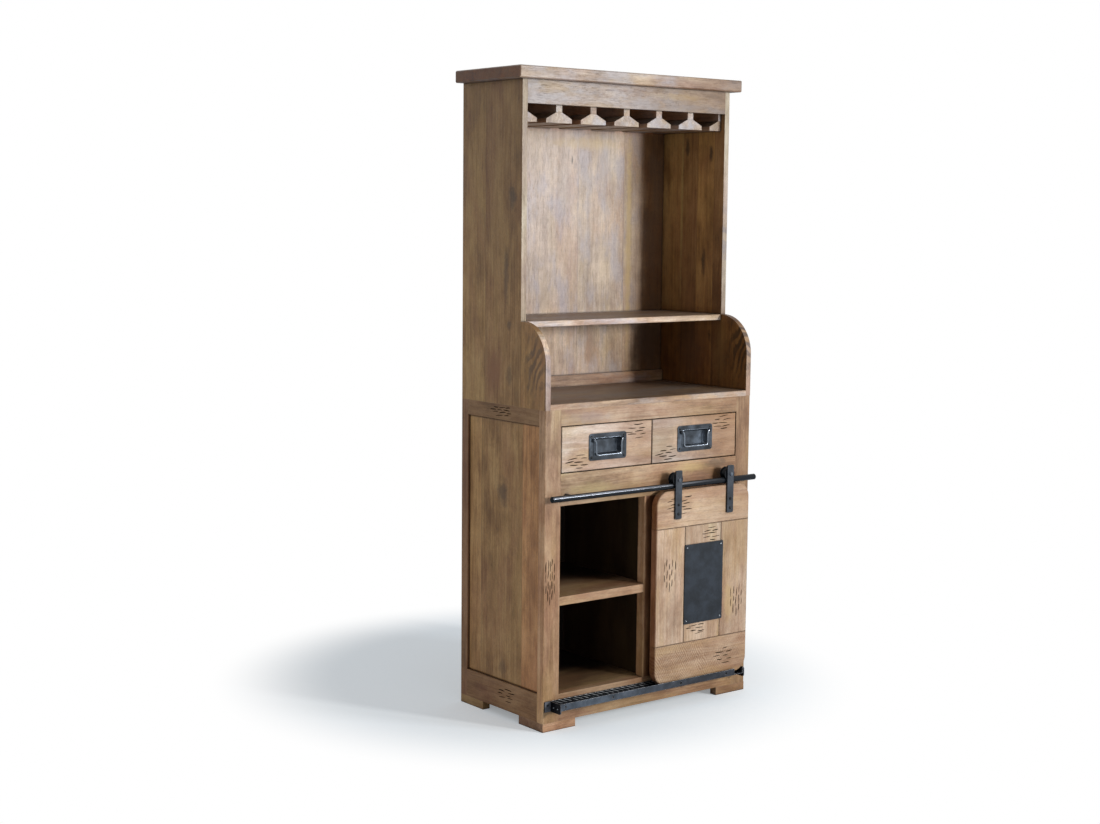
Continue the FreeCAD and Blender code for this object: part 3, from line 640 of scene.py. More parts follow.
        # Pale edges: wearing and painted edge highlight
        rub_and_highlight = edge * sheet.between(sheet.noise(coat.place, 55.0, 3.0, 0.6), 0.35, 0.65)
        coat.lay(rub_and_highlight * (self.rub_and_highlight_share * (1.0 - seam)), self.pale)
        # Dark seam edges: stain build-up and painted shade of the gap
        if seam:
            coat.lay(edge * seam, shade(self.stain, 0.6))
        # Painted shade: darker in tight corners and in hollows
        corner = sheet.between(sheet.open_to_air(CORNER_REACH), 0.9, 0.45)
        coat.lay(corner * self.corner_painted_shade, shade(self.stain, 0.5))
        hollow = sheet.between(sheet.open_to_air(HOLLOW_REACH), 0.85, 0.35)
        coat.dim(1.0 - hollow * self.hollow_painted_shade)


@dataclass(frozen=True)
class SteelFinish:
    """Blackened steel with a satin coat, bright at its edges from wearing and painted glints."""

    coat: Colour
    # Bright edge colour and its share: wearing, and painted glints and highlights on the track, the bar and the
    # screws
    rubbed_and_glint: Colour
    roughness: float = 0.34
    metal: float = 0.35
    wear_and_glint: float = 0.5
    patina: float = 0.25
    gloss: float = 0.5

    def material(self, name: str, glints_behind: float | None = None, highlight_side: Point | None = None,
                 fades: tuple[Fade, ...] = (), faces: Faces = ()) -> Material:
        """Write the steel of one piece.

        Args:
            name: The piece's name.
            glints_behind: The Y place behind which front faces get slanted painted highlights.
            highlight_side: The direction of the side that gets a painted highlight line.
            fades: Slow changes of the coat.
            faces: Directions of faces whose coat differs, each with its factor, as painted light and shade.

        Returns:
            Its material.
        """
        sheet = ShaderSheet.for_material("steel_" + name)
        place = sheet.object_place()
        cloud = sheet.noise(place, 26.0, 4.0, 0.6)
        grit = sheet.noise(place, 900.0, 2.0, 0.6)
        dark, light = shade(self.coat, 1 - 1.6 * self.patina), shade(self.coat, 1 + 2.4 * self.patina)
        coat = Coat(sheet, place, sheet.ramp(sheet.between(cloud * 0.75 + grit * 0.25, 0.32, 0.68),
                                             [(0.0, dark), (0.5, self.coat), (1.0, light)]))
        for fade in fades:
            coat.fade(fade)
        coat.face(faces)
        rounded, edge = sheet.edge(STEEL_EDGE)
        # Bright edges: wearing and painted glints; the slanted marks and the bar's line are painted highlights
        rub_and_highlight = edge * sheet.between(sheet.noise(place, 160.0, 3.0, 0.6), 0.4, 0.62) * self.wear_and_glint
        if glints_behind is not None:
            rub_and_highlight = sheet.maths("MAXIMUM", rub_and_highlight, self._painted_glints(sheet, place, glints_behind))
        metal = self.metal
        if highlight_side is not None:
            line = self._painted_highlight_line(sheet, place, highlight_side)
            rub_and_highlight = sheet.maths("MAXIMUM", rub_and_highlight, line)
            metal = self.metal + line * (1.0 - self.metal)
        coat.lay(rub_and_highlight, self.rubbed_and_glint)
        bump = sheet.bump(self.patina * 0.8, STEEL_RELIEF, grit * 0.6 + cloud * 0.6, rounded)
        rough = self.roughness + (cloud - 0.5) * self.patina + (grit - 0.5) * 0.1
        return sheet.finish({"Base Color": coat.colour, "Roughness": rough, "Normal": bump, "Metallic": metal,
                             "Specular IOR Level": self.gloss})

    @staticmethod
    def _painted_highlight_line(sheet: ShaderSheet, place: Wire, side: Point) -> Wire:
        """A painted highlight: a bright line along a round bar, fading out toward the right and broken
        unevenly.

        Args:
            sheet: The material's sheet.
            place: The place on the object.
            side: The direction of the side that the line lies on.

        Returns:
            The mask of the line.
        """
        line = sheet.between(sheet.along(sheet.normal("Normal"), side), 0.94, 0.985)
        toward_left = sheet.between(sheet.along(place, RIGHTWARD), 0.3, -0.05)
        uneven = sheet.noise(sheet.vector("MULTIPLY", place, (9.0, 160.0, 160.0)), 1.0, 3.0, 0.6)
        return line * toward_left * sheet.between(uneven, 0.3, 0.55, 0.45, 1.0)

    @staticmethod
    def _painted_glints(sheet: ShaderSheet, place: Wire, behind: float) -> Wire:
        """Painted highlights: slanted bright marks high on the front faces that lie behind a plane.

        Args:
            sheet: The material's sheet.
            place: The place on the object.
            behind: The plane's Y place.

        Returns:
            The mask of the marks.
        """
        front = sheet.looking(FRONTWARD, 0.6, 0.9)
        back = sheet.between(sheet.along(place, BACKWARD), behind - 0.004, behind + 0.004)
        top = sheet.between(sheet.along(place, UPWARD), 0.077, 0.08)
        slant = sheet.maths("SINE", sheet.along(place, (322.0, 0.0, 900.0)))
        return front * back * top * sheet.between(slant + sheet.noise(place, 60.0, 2.0, 0.5), 1.3, 1.44)


FRAME_WOOD = WoodFinish((0.185, 0.085, 0.036), (0.365, 0.203, 0.108), (0.52, 0.34, 0.205), streak_share=0.22)
FRONT_WOOD = WoodFinish((0.27, 0.15, 0.082), (0.425, 0.278, 0.182), (0.57, 0.415, 0.295), streak_share=0.14)
SIDE_WOOD = WoodFinish((0.21, 0.102, 0.038), (0.4, 0.217, 0.088), (0.56, 0.34, 0.155),
                       honey=(0.48, 0.3, 0.115), honey_share=0.25, streak_share=0.2, gloss=0.3)
# The veneer and the hutch carry greyish clouds that partly paint sheen
VENEER = WoodFinish((0.25, 0.165, 0.115), (0.43, 0.317, 0.238), (0.62, 0.485, 0.375),
                    honey=(0.53, 0.39, 0.21), haze_and_sheen=(0.36, 0.31, 0.33), haze_and_sheen_share=0.7, streak_share=0.08,
                    blotch=(11.0, 9.0), scratch_share=0.25, roughness=0.38, gloss=0.5)
HUTCH_WOOD = WoodFinish((0.18, 0.108, 0.068), (0.365, 0.243, 0.167), (0.58, 0.44, 0.33),
                        haze_and_sheen=(0.4, 0.36, 0.37), haze_and_sheen_share=0.65, blotch=(26.0, 9.0), scratch_share=0.2)
DARK_WOOD = WoodFinish((0.095, 0.052, 0.026), (0.165, 0.098, 0.05), (0.25, 0.16, 0.09), blush_share=0.15)
BLACK_STEEL = SteelFinish((0.026, 0.031, 0.04), (0.34, 0.36, 0.38), wear_and_glint=0.6)
BAR_STEEL = SteelFinish((0.008, 0.01, 0.013), (0.27, 0.28, 0.31), 0.15, 0.0, 0.9, 0.05, 0.15)
WHEEL_STEEL = SteelFinish((0.008, 0.009, 0.011), (0.16, 0.17, 0.18), metal=0.05, wear_and_glint=0.3, gloss=0.15)
# Near-white edges on the track and the axle bolts paint highlights and glints, partly wearing
TRACK_STEEL = SteelFinish((0.074, 0.09, 0.115), (0.95, 0.96, 0.98), 0.36, 0.45, 1.0)
BRACKET_STEEL = SteelFinish((0.06, 0.064, 0.076), (0.34, 0.36, 0.38), metal=0.0, wear_and_glint=0.4, gloss=0.12)
PLATE_STEEL = SteelFinish((0.014, 0.018, 0.025), (0.22, 0.23, 0.26), 0.5, 0.1, 0.4, gloss=0.25)
PULL_STEEL = SteelFinish((0.027, 0.033, 0.042), (0.4, 0.44, 0.5), 0.36, 0.5, 0.9, 0.36)
BAIL_STEEL = SteelFinish((0.25, 0.275, 0.315), (0.7, 0.73, 0.78), 0.2, 0.9, 0.6, 0.12)
WIRE_STEEL = SteelFinish((0.15, 0.17, 0.2), (0.55, 0.58, 0.63), 0.2, 0.9, 0.6, 0.12)
SCREW_STEEL = SteelFinish((0.007, 0.008, 0.01), (0.36, 0.38, 0.41), 0.3, 0.1, 0.8, gloss=0.3)
PIN_STEEL = SteelFinish((0.24, 0.26, 0.29), (0.55, 0.57, 0.6), 0.3, 0.8, 0.6)
# Near-black strokes paint the shade of cut grooves, which the thin raised strokes cannot cast
CARVED = SteelFinish((0.012, 0.006, 0.003), (0.03, 0.02, 0.01), 0.9, 0.0, 0.1, gloss=0.05)

KNOT: Colour = (0.055, 0.032, 0.02)
# Dark smudges in the wood; on the hutch's back, under the shelf, this colour paints a shadow
SMUDGE_AND_SHADOW: Colour = (0.115, 0.075, 0.048)
RED_STAIN: Colour = (0.33, 0.15, 0.075)
HONEY_STAIN: Colour = (0.52, 0.36, 0.15)
# Greyish patches: a milky film, laid mostly where it paints a pale sheen
GREY_HAZE_AND_SHEEN: Colour = (0.34, 0.29, 0.28)
MAUVE_STAIN: Colour = (0.23, 0.135, 0.105)
# Painted shade: darker toward the back of the base's bays
PAINTED_BAY_SHADE = Fade((0.25, 1.0, 0.0), -0.16, 0.02, (0.03, 0.025, 0.03))


# ---- mesh writing


def circle(centre: Vector, right: Vector, up: Vector, sides: int) -> list[Vector]:
    """Points round a centre; right and up are the radii toward two of its sides."""
    turns = (2 * math.pi * index / sides for index in range(sides))
    return [centre + right * math.cos(turn) + up * math.sin(turn) for turn in turns]


def quarter(x: float, z: float, radius: float, start: float, way: int = 1) -> list[tuple[float, float]]:
    """Points of a quarter of a circle.

    Args:
        x: The centre's first coordinate.
        z: The centre's second coordinate.
        radius: The circle's radius.
        start: Where it starts, in degrees.
        way: 1 to run against the clock, -1 to run with it.

    Returns:
        Seven points, 15 degrees apart.
    """
    turns = (math.radians(start + way * 15 * step) for step in range(7))
    return [(x + radius * math.cos(turn), z + radius * math.sin(turn)) for turn in turns]


class MeshDraft:
    """Points and faces of one added piece, gathered in the cabinet's frame, in metres."""

    def __init__(self) -> None:
        """Start with nothing."""
        self.mesh = bmesh.new()

    def loft(self, rings: Sequence[Sequence[Vector]], closed_around: bool = True, capped: bool = True) -> None:
        """Join rings of points with faces.

        Args:
            rings: Rings with the same number of points each.
            closed_around: Whether each ring's last point joins its first.
            capped: Whether the first and last ring are filled.
        """
        rows = [[self.mesh.verts.new(point) for point in ring] for ring in rings]
        count = len(rows[0])
        for row, following in zip(rows, rows[1:]):
            for index in range(count if closed_around else count - 1):
                other = (index + 1) % count
                self.mesh.faces.new((row[index], row[other], following[other], following[index]))
        if capped:
            self.mesh.faces.new(rows[0][::-1])
            self.mesh.faces.new(rows[-1])

    def lathe(self, profile: Sequence[tuple[float, float]], origin: Vector, out: Vector, sides: int) -> None:
        """Turn a profile about an axis.

        Args:
            profile: Radii and heights, from the seat outward.
            origin: Where the height is zero.
            out: The axis.
            sides: How many sides it has.
        """
        side = out.orthogonal().normalized()
        other = out.cross(side)
        self.loft([circle(origin + out * height, side * radius, other * radius, sides)
                   for radius, height in profile])

    def tube(self, path: Sequence[Vector], radius: float, sides: int, closed: bool = False) -> None:
        """Run a round section along a flat path in an XZ plane.

        Args:
            path: Its points.
            radius: The section's radius.
            sides: How many sides the section has.
            closed: Whether the path's end joins its start.
        """
        depth = Vector(BACKWARD)
        rings = []
        for index, point in enumerate(path):
            before = path[index - 1] if index or closed else point
            after = path[(index + 1) % len(path)] if index + 1 < len(path) or closed else point
            across = (after - before).normalized().cross(depth)
            rings.append(circle(point, across * radius, depth * radius, sides))
        if closed:
            rings.append(rings[0])
        self.loft(rings, capped=not closed)

    def piece(self, name: str, body: str, slot: str, material: Material) -> Object:
        """Make the object and let it ride on its body.

        Args:
            name: The piece's name.
            body: The body that it moves with.
            slot: Not used.
            material: Its material.

        Returns:
            The new object.
        """
        bmesh.ops.remove_doubles(self.mesh, verts=self.mesh.verts, dist=WELD_DISTANCE)
        bmesh.ops.recalc_face_normals(self.mesh, faces=self.mesh.faces)
        data = bpy.data.meshes.new(name)
        self.mesh.to_mesh(data)
        self.mesh.free()
        for face in data.polygons:
            face.use_smooth = True
        data.set_sharp_from_angle(angle=SHARP_ANGLE)
        data.materials.append(material)
        made = bpy.data.objects.new(name, data)
        bpy.context.scene.collection.objects.link(made)
        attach(made, body)
        log.info("added %s on %s", name, body)
        return made


class Facing(Enum):
    """Which way a carved face looks: its normal, and the direction to the right along it."""

    FRONT = (FRONTWARD, RIGHTWARD)
    LEFT = (LEFTWARD, FRONTWARD)


@dataclass(frozen=True)
class ChiselMarks:
    """A cluster of short strokes cut into a board with a chisel."""

    name: str
    body: str
    slot: str
    centre: Point
    width: float
    height: float
    rows: int = 5
    per_row: int = 2
    length: float = 0.03
    upright: bool = False
    facing: Facing = Facing.FRONT
    thickness: float = 0.0013

    def build(self) -> Object:
        """Lay the strokes in loose rows, fewer toward the cluster's ends.

        Returns:
            The strokes as one piece.
        """
        chance = random.Random(self.name)
        normal, right = (Vector(part) for part in self.facing.value)
        up = Vector(UPWARD)
        run, step = (up, right) if self.upright else (right, up)
        run_size, step_size = (self.height, self.width) if self.upright else (self.width, self.height)
        draft = MeshDraft()
        pitch = run_size / self.per_row
        for row in range(self.rows):
            share = (row + 0.5) / self.rows * 2 - 1
            reach = run_size / 2 * math.sqrt(max(0.3, 1.12 - share * share))
            along = -run_size / 2 + pitch * (0.5 if row % 2 else 0.15)
            while along < run_size / 2 + pitch / 2:
                if abs(along) <= reach:
                    drift = chance.uniform(-0.12, 0.12) * pitch
                    aside = share * step_size / 2 + chance.uniform(-0.2, 0.2) * step_size / self.rows
                    place = Vector(self.centre) + run * (along + drift) + step * aside
                    draft.loft(self._stroke(place, run, step, normal, chance), False, False)
                along += pitch
        return draft.piece(self.name, self.body, self.slot, CARVED.material(self.name))

    def _stroke(self, place: Vector, run: Vector, step: Vector, normal: Vector,
                chance: random.Random) -> list[list[Vector]]:
        """Shape one stroke: a slim hollow between two thin raised lips.

        Args:
            place: Its middle.
            run: The direction of its length.
            step: The direction across it.
            normal: The way out of the board.
            chance: The source of its small differences.

        Returns:
            Its sections.
        """
        length = self.length * chance.uniform(0.7, 1.25)
        slant = chance.uniform(-0.05, 0.13)
        bow = chance.uniform(-0.0012, 0.0012)
        wide = self.thickness * chance.uniform(0.75, 1.3)
        sections = []
        for index in range(STROKE_SECTIONS):
            share = index / (STROKE_SECTIONS - 1) * 2 - 1
            spread = wide * max(0.06, 1 - share * share) ** 0.4
            aside = slant * share * length / 2 + bow * (1 - share * share)
            middle = place + run * (share * length / 2) + step * aside
            sections.append([middle + step * (across * spread) + normal * rise
                             for across, rise in STROKE_SHAPE])
        return sections


# ---- sub-assemblies


def dress(node: str, material: Material) -> None:
    """Give a CAD node its material.

    Args:
        node: The node's name.
        material: The material.
    """
    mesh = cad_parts[node].data
    mesh.materials.clear()
    mesh.materials.append(material)
    log.info("dressed %s", node)


@dataclass
class Woodwork:
    """A group of boards of one wood, and the marks cut into them."""

    finish: WoodFinish
    boards: tuple[Board, ...]
    marks: tuple[ChiselMarks, ...] = ()

    def build(self) -> None:
        """Dress the boards and cut their marks."""
        for board in self.boards:
            dress(board.node, self.finish.material(board))
        for mark in self.marks:
            mark.build()


@dataclass
class FaceFrame(Woodwork):
    """Stiles, rails, shelves and feet of the base's front."""

    finish: WoodFinish = FRAME_WOOD
    boards: tuple[Board, ...] = (
        # Painted light: the upper part lighter and bluer as sheen, the left face lighter
        Board("stile_left", Axis.Z, fades=(Fade(UPWARD, 0.6, 0.8, (1.07, 1.19, 1.32)),),
              faces=((LEFTWARD, (1.6, 1.52, 1.42)),)),
        Board("stile_right", Axis.Z, 0.76, (0.96, 0.96, 0.88)),
        # Painted shadow of the door along the right edge
        Board("stile_centre", Axis.Z, 1.45, fades=(Fade(RIGHTWARD, -0.024, -0.014, (0.28, 0.2, 0.15), 0.01),)),
        # Painted light: darker toward the right, and a grey patch of painted sheen
        Board("front_rail_top", Axis.X, 1.08, (0.96, 1.07, 1.24),
              fades=(Fade(RIGHTWARD, -0.06, 0.32, (0.78, 0.7, 0.56)),),
              patches=patches_on(Axis.Y, -0.18, (-0.24, 0.905, 0.09, 0.02, GREY_HAZE_AND_SHEEN, 0.3))),
        # Painted light: darker toward the right, lighter and bluer toward the left and toward the top
        Board("front_rail_middle", Axis.X, 0.96,
              fades=(Fade(RIGHTWARD, 0.08, 0.36, (0.62, 0.52, 0.44)),
                     Fade(LEFTWARD, -0.02, 0.26, (1.02, 1.15, 1.2)),
                     Fade(UPWARD, 0.705, 0.745, (1.2, 1.26, 1.3), 0.02)),
              patches=patches_on(Axis.Y, -0.18,
                  (0.165, 0.728, 0.07, 0.015, HONEY_STAIN, 0.5), (-0.22, 0.7, 0.1, 0.02, HONEY_STAIN, 0.3),
                  (0.26, 0.735, 0.06, 0.018, SMUDGE_AND_SHADOW, 0.6))),
        Board("front_rail_bottom", Axis.X, 0.86, fades=(Fade(RIGHTWARD, 0.0, 0.3, (1.2, 1.2, 1.12)),)),
        # Painted shade: darker toward the back and on the top face
        Board("shelf_left", Axis.X, fades=(PAINTED_BAY_SHADE,), faces=((UPWARD, grey(0.85)),)),
        Board("shelf_right", Axis.X, fades=(PAINTED_BAY_SHADE,), faces=((UPWARD, grey(0.85)),)),
        # Painted shade: the left face darker
        Board("foot_front_left", Axis.X, 1.32, (1.0, 0.98, 1.02), faces=((LEFTWARD, (0.68, 0.64, 0.64)),)),
        Board("foot_front_right", Axis.X, 0.65, (1.02, 0.94, 0.82)),
    )
    marks: tuple[ChiselMarks, ...] = (
        ChiselMarks("marks_stile_left", "cabinet", "stile_left", (-0.3775, -0.18, 0.446), 0.036, 0.125,
                    5, 4, 0.026, upright=True),
    )


@dataclass
class SideFrames(Woodwork):
    """Posts, rails and panels of the base's sides, with the rear feet."""

    finish: WoodFinish = SIDE_WOOD
    boards: tuple[Board, ...] = (
        Board("back_post_left", Axis.Z, 0.78, (1.0, 0.93, 1.05)), Board("back_post_right", Axis.Z, 0.85),
        Board("side_rail_top_left", Axis.Y, 0.72, (1.0, 0.93, 1.0)), Board("side_rail_top_right", Axis.Y, 0.75),
        Board("side_rail_bottom_left", Axis.Y, 0.75, (1.0, 0.93, 1.0)),
        Board("side_rail_bottom_right", Axis.Y, 0.75),
        Board("side_panel_left", Axis.Z,
              staves=Staves(Axis.Y, (-0.152, -0.068, 0.135, 0.206),
                            ((1.5, 1.32, 1.3), (1.1, 1.1, 1.07), (1.24, 1.2, 1.14))),
              fades=(Fade(DOWNWARD, -0.6, -0.1, (0.88, 0.85, 0.85)),),
              patches=patches_on(Axis.X, -0.394,
                  (0.03, 0.672, 0.028, 0.05, SMUDGE_AND_SHADOW, 0.65), (0.025, 0.15, 0.025, 0.035, SMUDGE_AND_SHADOW, 0.45),
                  (-0.115, 0.45, 0.03, 0.3, RED_STAIN, 0.35))),
        Board("side_panel_right", Axis.Z,
              staves=Staves(Axis.Y, (-0.152, -0.045, 0.08, 0.206),
                            ((1.08, 1.0, 0.95), (0.95, 0.96, 0.95), (1.08, 1.04, 1.0))),
              patches=patches_on(Axis.X, 0.394, (0.12, 0.35, 0.026, 0.045, SMUDGE_AND_SHADOW, 0.6))),
        Board("foot_rear_left", Axis.Y, 0.9), Board("foot_rear_right", Axis.Y, 0.9),
    )
    marks: tuple[ChiselMarks, ...] = (
        ChiselMarks("marks_rail_top", "cabinet", "side_rail_top_left", (-0.4, 0.028, 0.912), 0.095, 0.03,
                    4, 3, facing=Facing.LEFT),
        ChiselMarks("marks_rail_bottom", "cabinet", "side_rail_bottom_left", (-0.4, -0.004, 0.071),
                    0.085, 0.046, facing=Facing.LEFT),
    )


@dataclass
class BaseInterior(Woodwork):
    """Floor, divider, drawer board, guides and back of the base, stained dark; the back's near-black front face
    and the darkening toward the back are painted shade.
    """

    finish: WoodFinish = DARK_WOOD
    boards: tuple[Board, ...] = (
        Board("base_floor", Axis.X, 1.1, fades=(PAINTED_BAY_SHADE,)),
        Board("divider", Axis.Z, 0.14), Board("drawer_board", Axis.X, 0.3), Board("drawer_guides", Axis.Y, 0.5),
        # Painted shade: the back's front face near black
        Board("base_back", Axis.Z, 1.5, faces=((FRONTWARD, grey(0.05)),)),
    )


@dataclass
class Hutch(Woodwork):
    """Side boards of the hutch, the boards that run between them, and its back."""

    finish: WoodFinish = SIDE_WOOD
    boards: tuple[Board, ...] = (
        # Painted light: the front edge lighter and bluer as lit wood with sheen; the top face and the front
        # strip of the wide lower part darker as shade
        Board("hutch_side_left", Axis.Z, 1.06,
              staves=Staves(Axis.Y, (-0.181, -0.061, 0.112, 0.231),
                            ((1.0, 0.95, 0.9), (0.93, 0.93, 0.91), (1.04, 1.07, 1.03))),
              fades=(Fade(UPWARD, 1.1, 1.8, (0.72, 0.7, 0.66)),
                     Fade(FRONTWARD, 0.172, 0.1785, (0.46, 0.43, 0.49), 0.0)),
              faces=((FRONTWARD, (1.95, 2.9, 5.2)), (UPWARD, (0.8, 0.85, 0.95))),
              patches=patches_on(Axis.X, -0.4,
                  (-0.018, 1.535, 0.022, 0.04, SMUDGE_AND_SHADOW, 0.75), (0.012, 1.3, 0.014, 0.09, SMUDGE_AND_SHADOW, 0.55),
                  (-0.004, 1.165, 0.012, 0.018, SMUDGE_AND_SHADOW, 0.6), (-0.006, 1.02, 0.016, 0.035, SMUDGE_AND_SHADOW, 0.5),
                  (-0.13, 1.06, 0.06, 0.11, SMUDGE_AND_SHADOW, 0.65, True),
                  (0.07, 1.03, 0.045, 0.06, RED_STAIN, 0.55))),
        # Painted light: the front edge lighter and bluer as lit wood with sheen; the top face, the inner face
        # and the part below the shelf darker as shade
        Board("hutch_side_right", Axis.Z,
              staves=Staves(Axis.Y, (-0.181, -0.061, -0.02, 0.058, 0.126, 0.231),
                            ((1.1, 1.05, 0.9), (0.88, 0.78, 0.72), (1.25, 1.18, 1.0), (0.88, 0.8, 0.74),
                             (1.06, 1.02, 0.92))),
              faces=((LEFTWARD, (0.88, 0.92, 0.85)), (FRONTWARD, (1.45, 2.15, 4.4)),
                     (UPWARD, (0.7, 0.75, 0.85))),
              fades=(Fade(DOWNWARD, -1.62, -1.25, (0.74, 0.7, 0.7)),
                     Fade(DOWNWARD, -1.21, -1.17, (0.68, 0.56, 0.43), 0.02),
                     Fade(FRONTWARD, 0.172, 0.1785, (1.3, 1.45, 1.75), 0.0)),
              patches=patches_on(Axis.X, 0.382,
                  (0.13, 1.5, 0.006, 0.36, HONEY_STAIN, 0.65), (0.108, 1.7, 0.012, 0.03, KNOT, 0.8),
                  (-0.002, 1.68, 0.01, 0.03, KNOT, 0.8), (0.026, 1.34, 0.012, 0.045, KNOT, 0.7),
                  (0.08, 1.07, 0.07, 0.11, MAUVE_STAIN, 0.5), (-0.01, 1.11, 0.01, 0.02, KNOT, 0.7),
                  (-0.06, 1.06, 0.035, 0.12, HONEY_STAIN, 0.35),
                  (-0.08, 1.42, 0.045, 0.12, SMUDGE_AND_SHADOW, 0.5, True),
                  (-0.15, 1.09, 0.06, 0.12, KNOT, 0.75, True))),
    )
    crossing: tuple[Board, ...] = (
        # Painted light: the front lighter toward the left as sheen, the underside darker as shade; the darker
        # ends are end grain and painted shade
        Board("top_slab", Axis.X, 0.98, (1.0, 1.03, 1.06),
              faces=((LEFTWARD, (0.43, 0.2, 0.065)), (RIGHTWARD, (0.5, 0.4, 0.3)),
                     (DOWNWARD, (0.75, 0.65, 0.6))),
              fades=(Fade(RIGHTWARD, 0.04, 0.4, (0.54, 0.43, 0.34)),)),
        # Painted sheen: lighter toward the left, and the grey patches
        Board("apron", Axis.X, 0.96, (0.92, 0.95, 0.99),
              fades=(Fade(RIGHTWARD, -0.18, 0.36, (0.56, 0.48, 0.41)),),
              patches=patches_on(Axis.Y, -0.061,
                  (-0.18, 1.815, 0.1, 0.015, GREY_HAZE_AND_SHEEN, 0.4), (0.06, 1.815, 0.06, 0.022, GREY_HAZE_AND_SHEEN, 0.7),
                  (0.2, 1.84, 0.1, 0.012, HONEY_STAIN, 0.5), (0.25, 1.812, 0.06, 0.01, GREY_HAZE_AND_SHEEN, 0.6))),
        # Painted light: the top face darker as shade, the front face lighter and bluer as sheen
        Board("hutch_shelf", Axis.X, 1.1, faces=((UPWARD, (0.54, 0.53, 0.52)), (FRONTWARD, (1.3, 1.38, 1.45)))),
        # Painted shade: the top face darker
        Board("counter", Axis.X, 1.08, (1.0, 0.95, 0.85), faces=((UPWARD, grey(0.5)),)),
        Board("upstand", Axis.X, 0.9, (1.05, 0.95, 0.85)),
    )
    back: Board = Board(
        "hutch_back", Axis.Z, 0.97, shown=FRONTWARD, faces=((BACKWARD, (0.72, 0.62, 0.5)),),
        staves=Staves(Axis.X, (-0.382, -0.2, 0.03, 0.215, 0.382),
                      ((0.94, 0.97, 1.04), (1.0, 0.98, 1.0), (1.03, 1.02, 0.98), (0.95, 0.92, 0.86))),
        # Painted shadow darkening toward the right side, painted light at the top behind the rack, lighter
        # below the shelf; its grey patches paint sheen
        fades=(Fade(RIGHTWARD, 0.24, 0.325, (0.4, 0.26, 0.14), 0.05),
               Fade(UPWARD, 1.73, 1.77, (1.9, 1.4, 1.3), 0.01),
               Fade(DOWNWARD, -1.205, -1.18, (1.22, 1.22, 1.16), 0.02)),
        patches=patches_on(Axis.Y, 0.222,
            (0.238, 1.4, 0.014, 0.42, HONEY_STAIN, 0.65), (0.06, 1.705, 0.16, 0.022, HONEY_STAIN, 0.45),
            (0.006, 1.652, 0.004, 0.014, KNOT, 0.8), (0.14, 1.64, 0.04, 0.06, GREY_HAZE_AND_SHEEN, 0.5),
            (-0.02, 1.56, 0.05, 0.07, GREY_HAZE_AND_SHEEN, 0.35), (-0.3, 1.45, 0.03, 0.22, GREY_HAZE_AND_SHEEN, 0.4),
            # Painted shadow: the dark patch at the right under the shelf
            (-0.34, 1.66, 0.08, 0.09, GREY_HAZE_AND_SHEEN, 0.6), (0.325, 1.08, 0.08, 0.13, SMUDGE_AND_SHADOW, 0.6),
            (-0.26, 1.22, 0.06, 0.05, SMUDGE_AND_SHADOW, 0.15)))

    def build(self) -> None:
        """Dress the sides, the boards between them and the back."""
        super().build()
        for board in self.crossing:
            dress(board.node, HUTCH_WOOD.material(board))
        dress(self.back.node, VENEER.material(self.back))


@dataclass
class GlassRack(Woodwork):
    """The seven rails that stemmed glasses hang from."""

    finish: WoodFinish = HUTCH_WOOD
    boards: tuple[Board, ...] = (
        # Painted light: the front ends lighter and bluer, the left faces warmer, the rightmost foot darker as
        # shadow of the hutch side
        Board("glass_rail_feet", Axis.Y, 0.72,
              faces=((FRONTWARD, (1.6, 1.75, 1.9)), (LEFTWARD, (1.2, 1.0, 0.85))),
              fades=(Fade(RIGHTWARD, 0.325, 0.345, (0.55, 0.5, 0.48), 0.0),)),
        Board("glass_rail_stems", Axis.Y, 0.8,
              faces=((FRONTWARD, (1.5, 1.6, 1.7)), (LEFTWARD, (1.3, 1.0, 0.8)))),
    )


@dataclass
class SmallScrews:
    """A group of equal small screws with a round socket."""

    name: str
    body: str
    slot: str
    seats: Sequence[Point]
    radius: float
    height: float = 0.0018
    out: Point = FRONTWARD

    def build(self, finish: SteelFinish) -> Object:
        """Turn the domed heads with their sockets.

        Args:
            finish: Their finish.

        Returns:
            The heads as one piece.
        """
        draft = MeshDraft()
        profile = [(self.radius, -HEAD_SUNK)]
        profile += [(self.radius * width, self.height * rise) for width, rise in HEAD_SHAPE]
        for seat in self.seats:
            draft.lathe(profile, Vector(seat), Vector(self.out), HEAD_SIDES)
        return draft.piece(self.name, self.body, self.slot, finish.material(self.name))


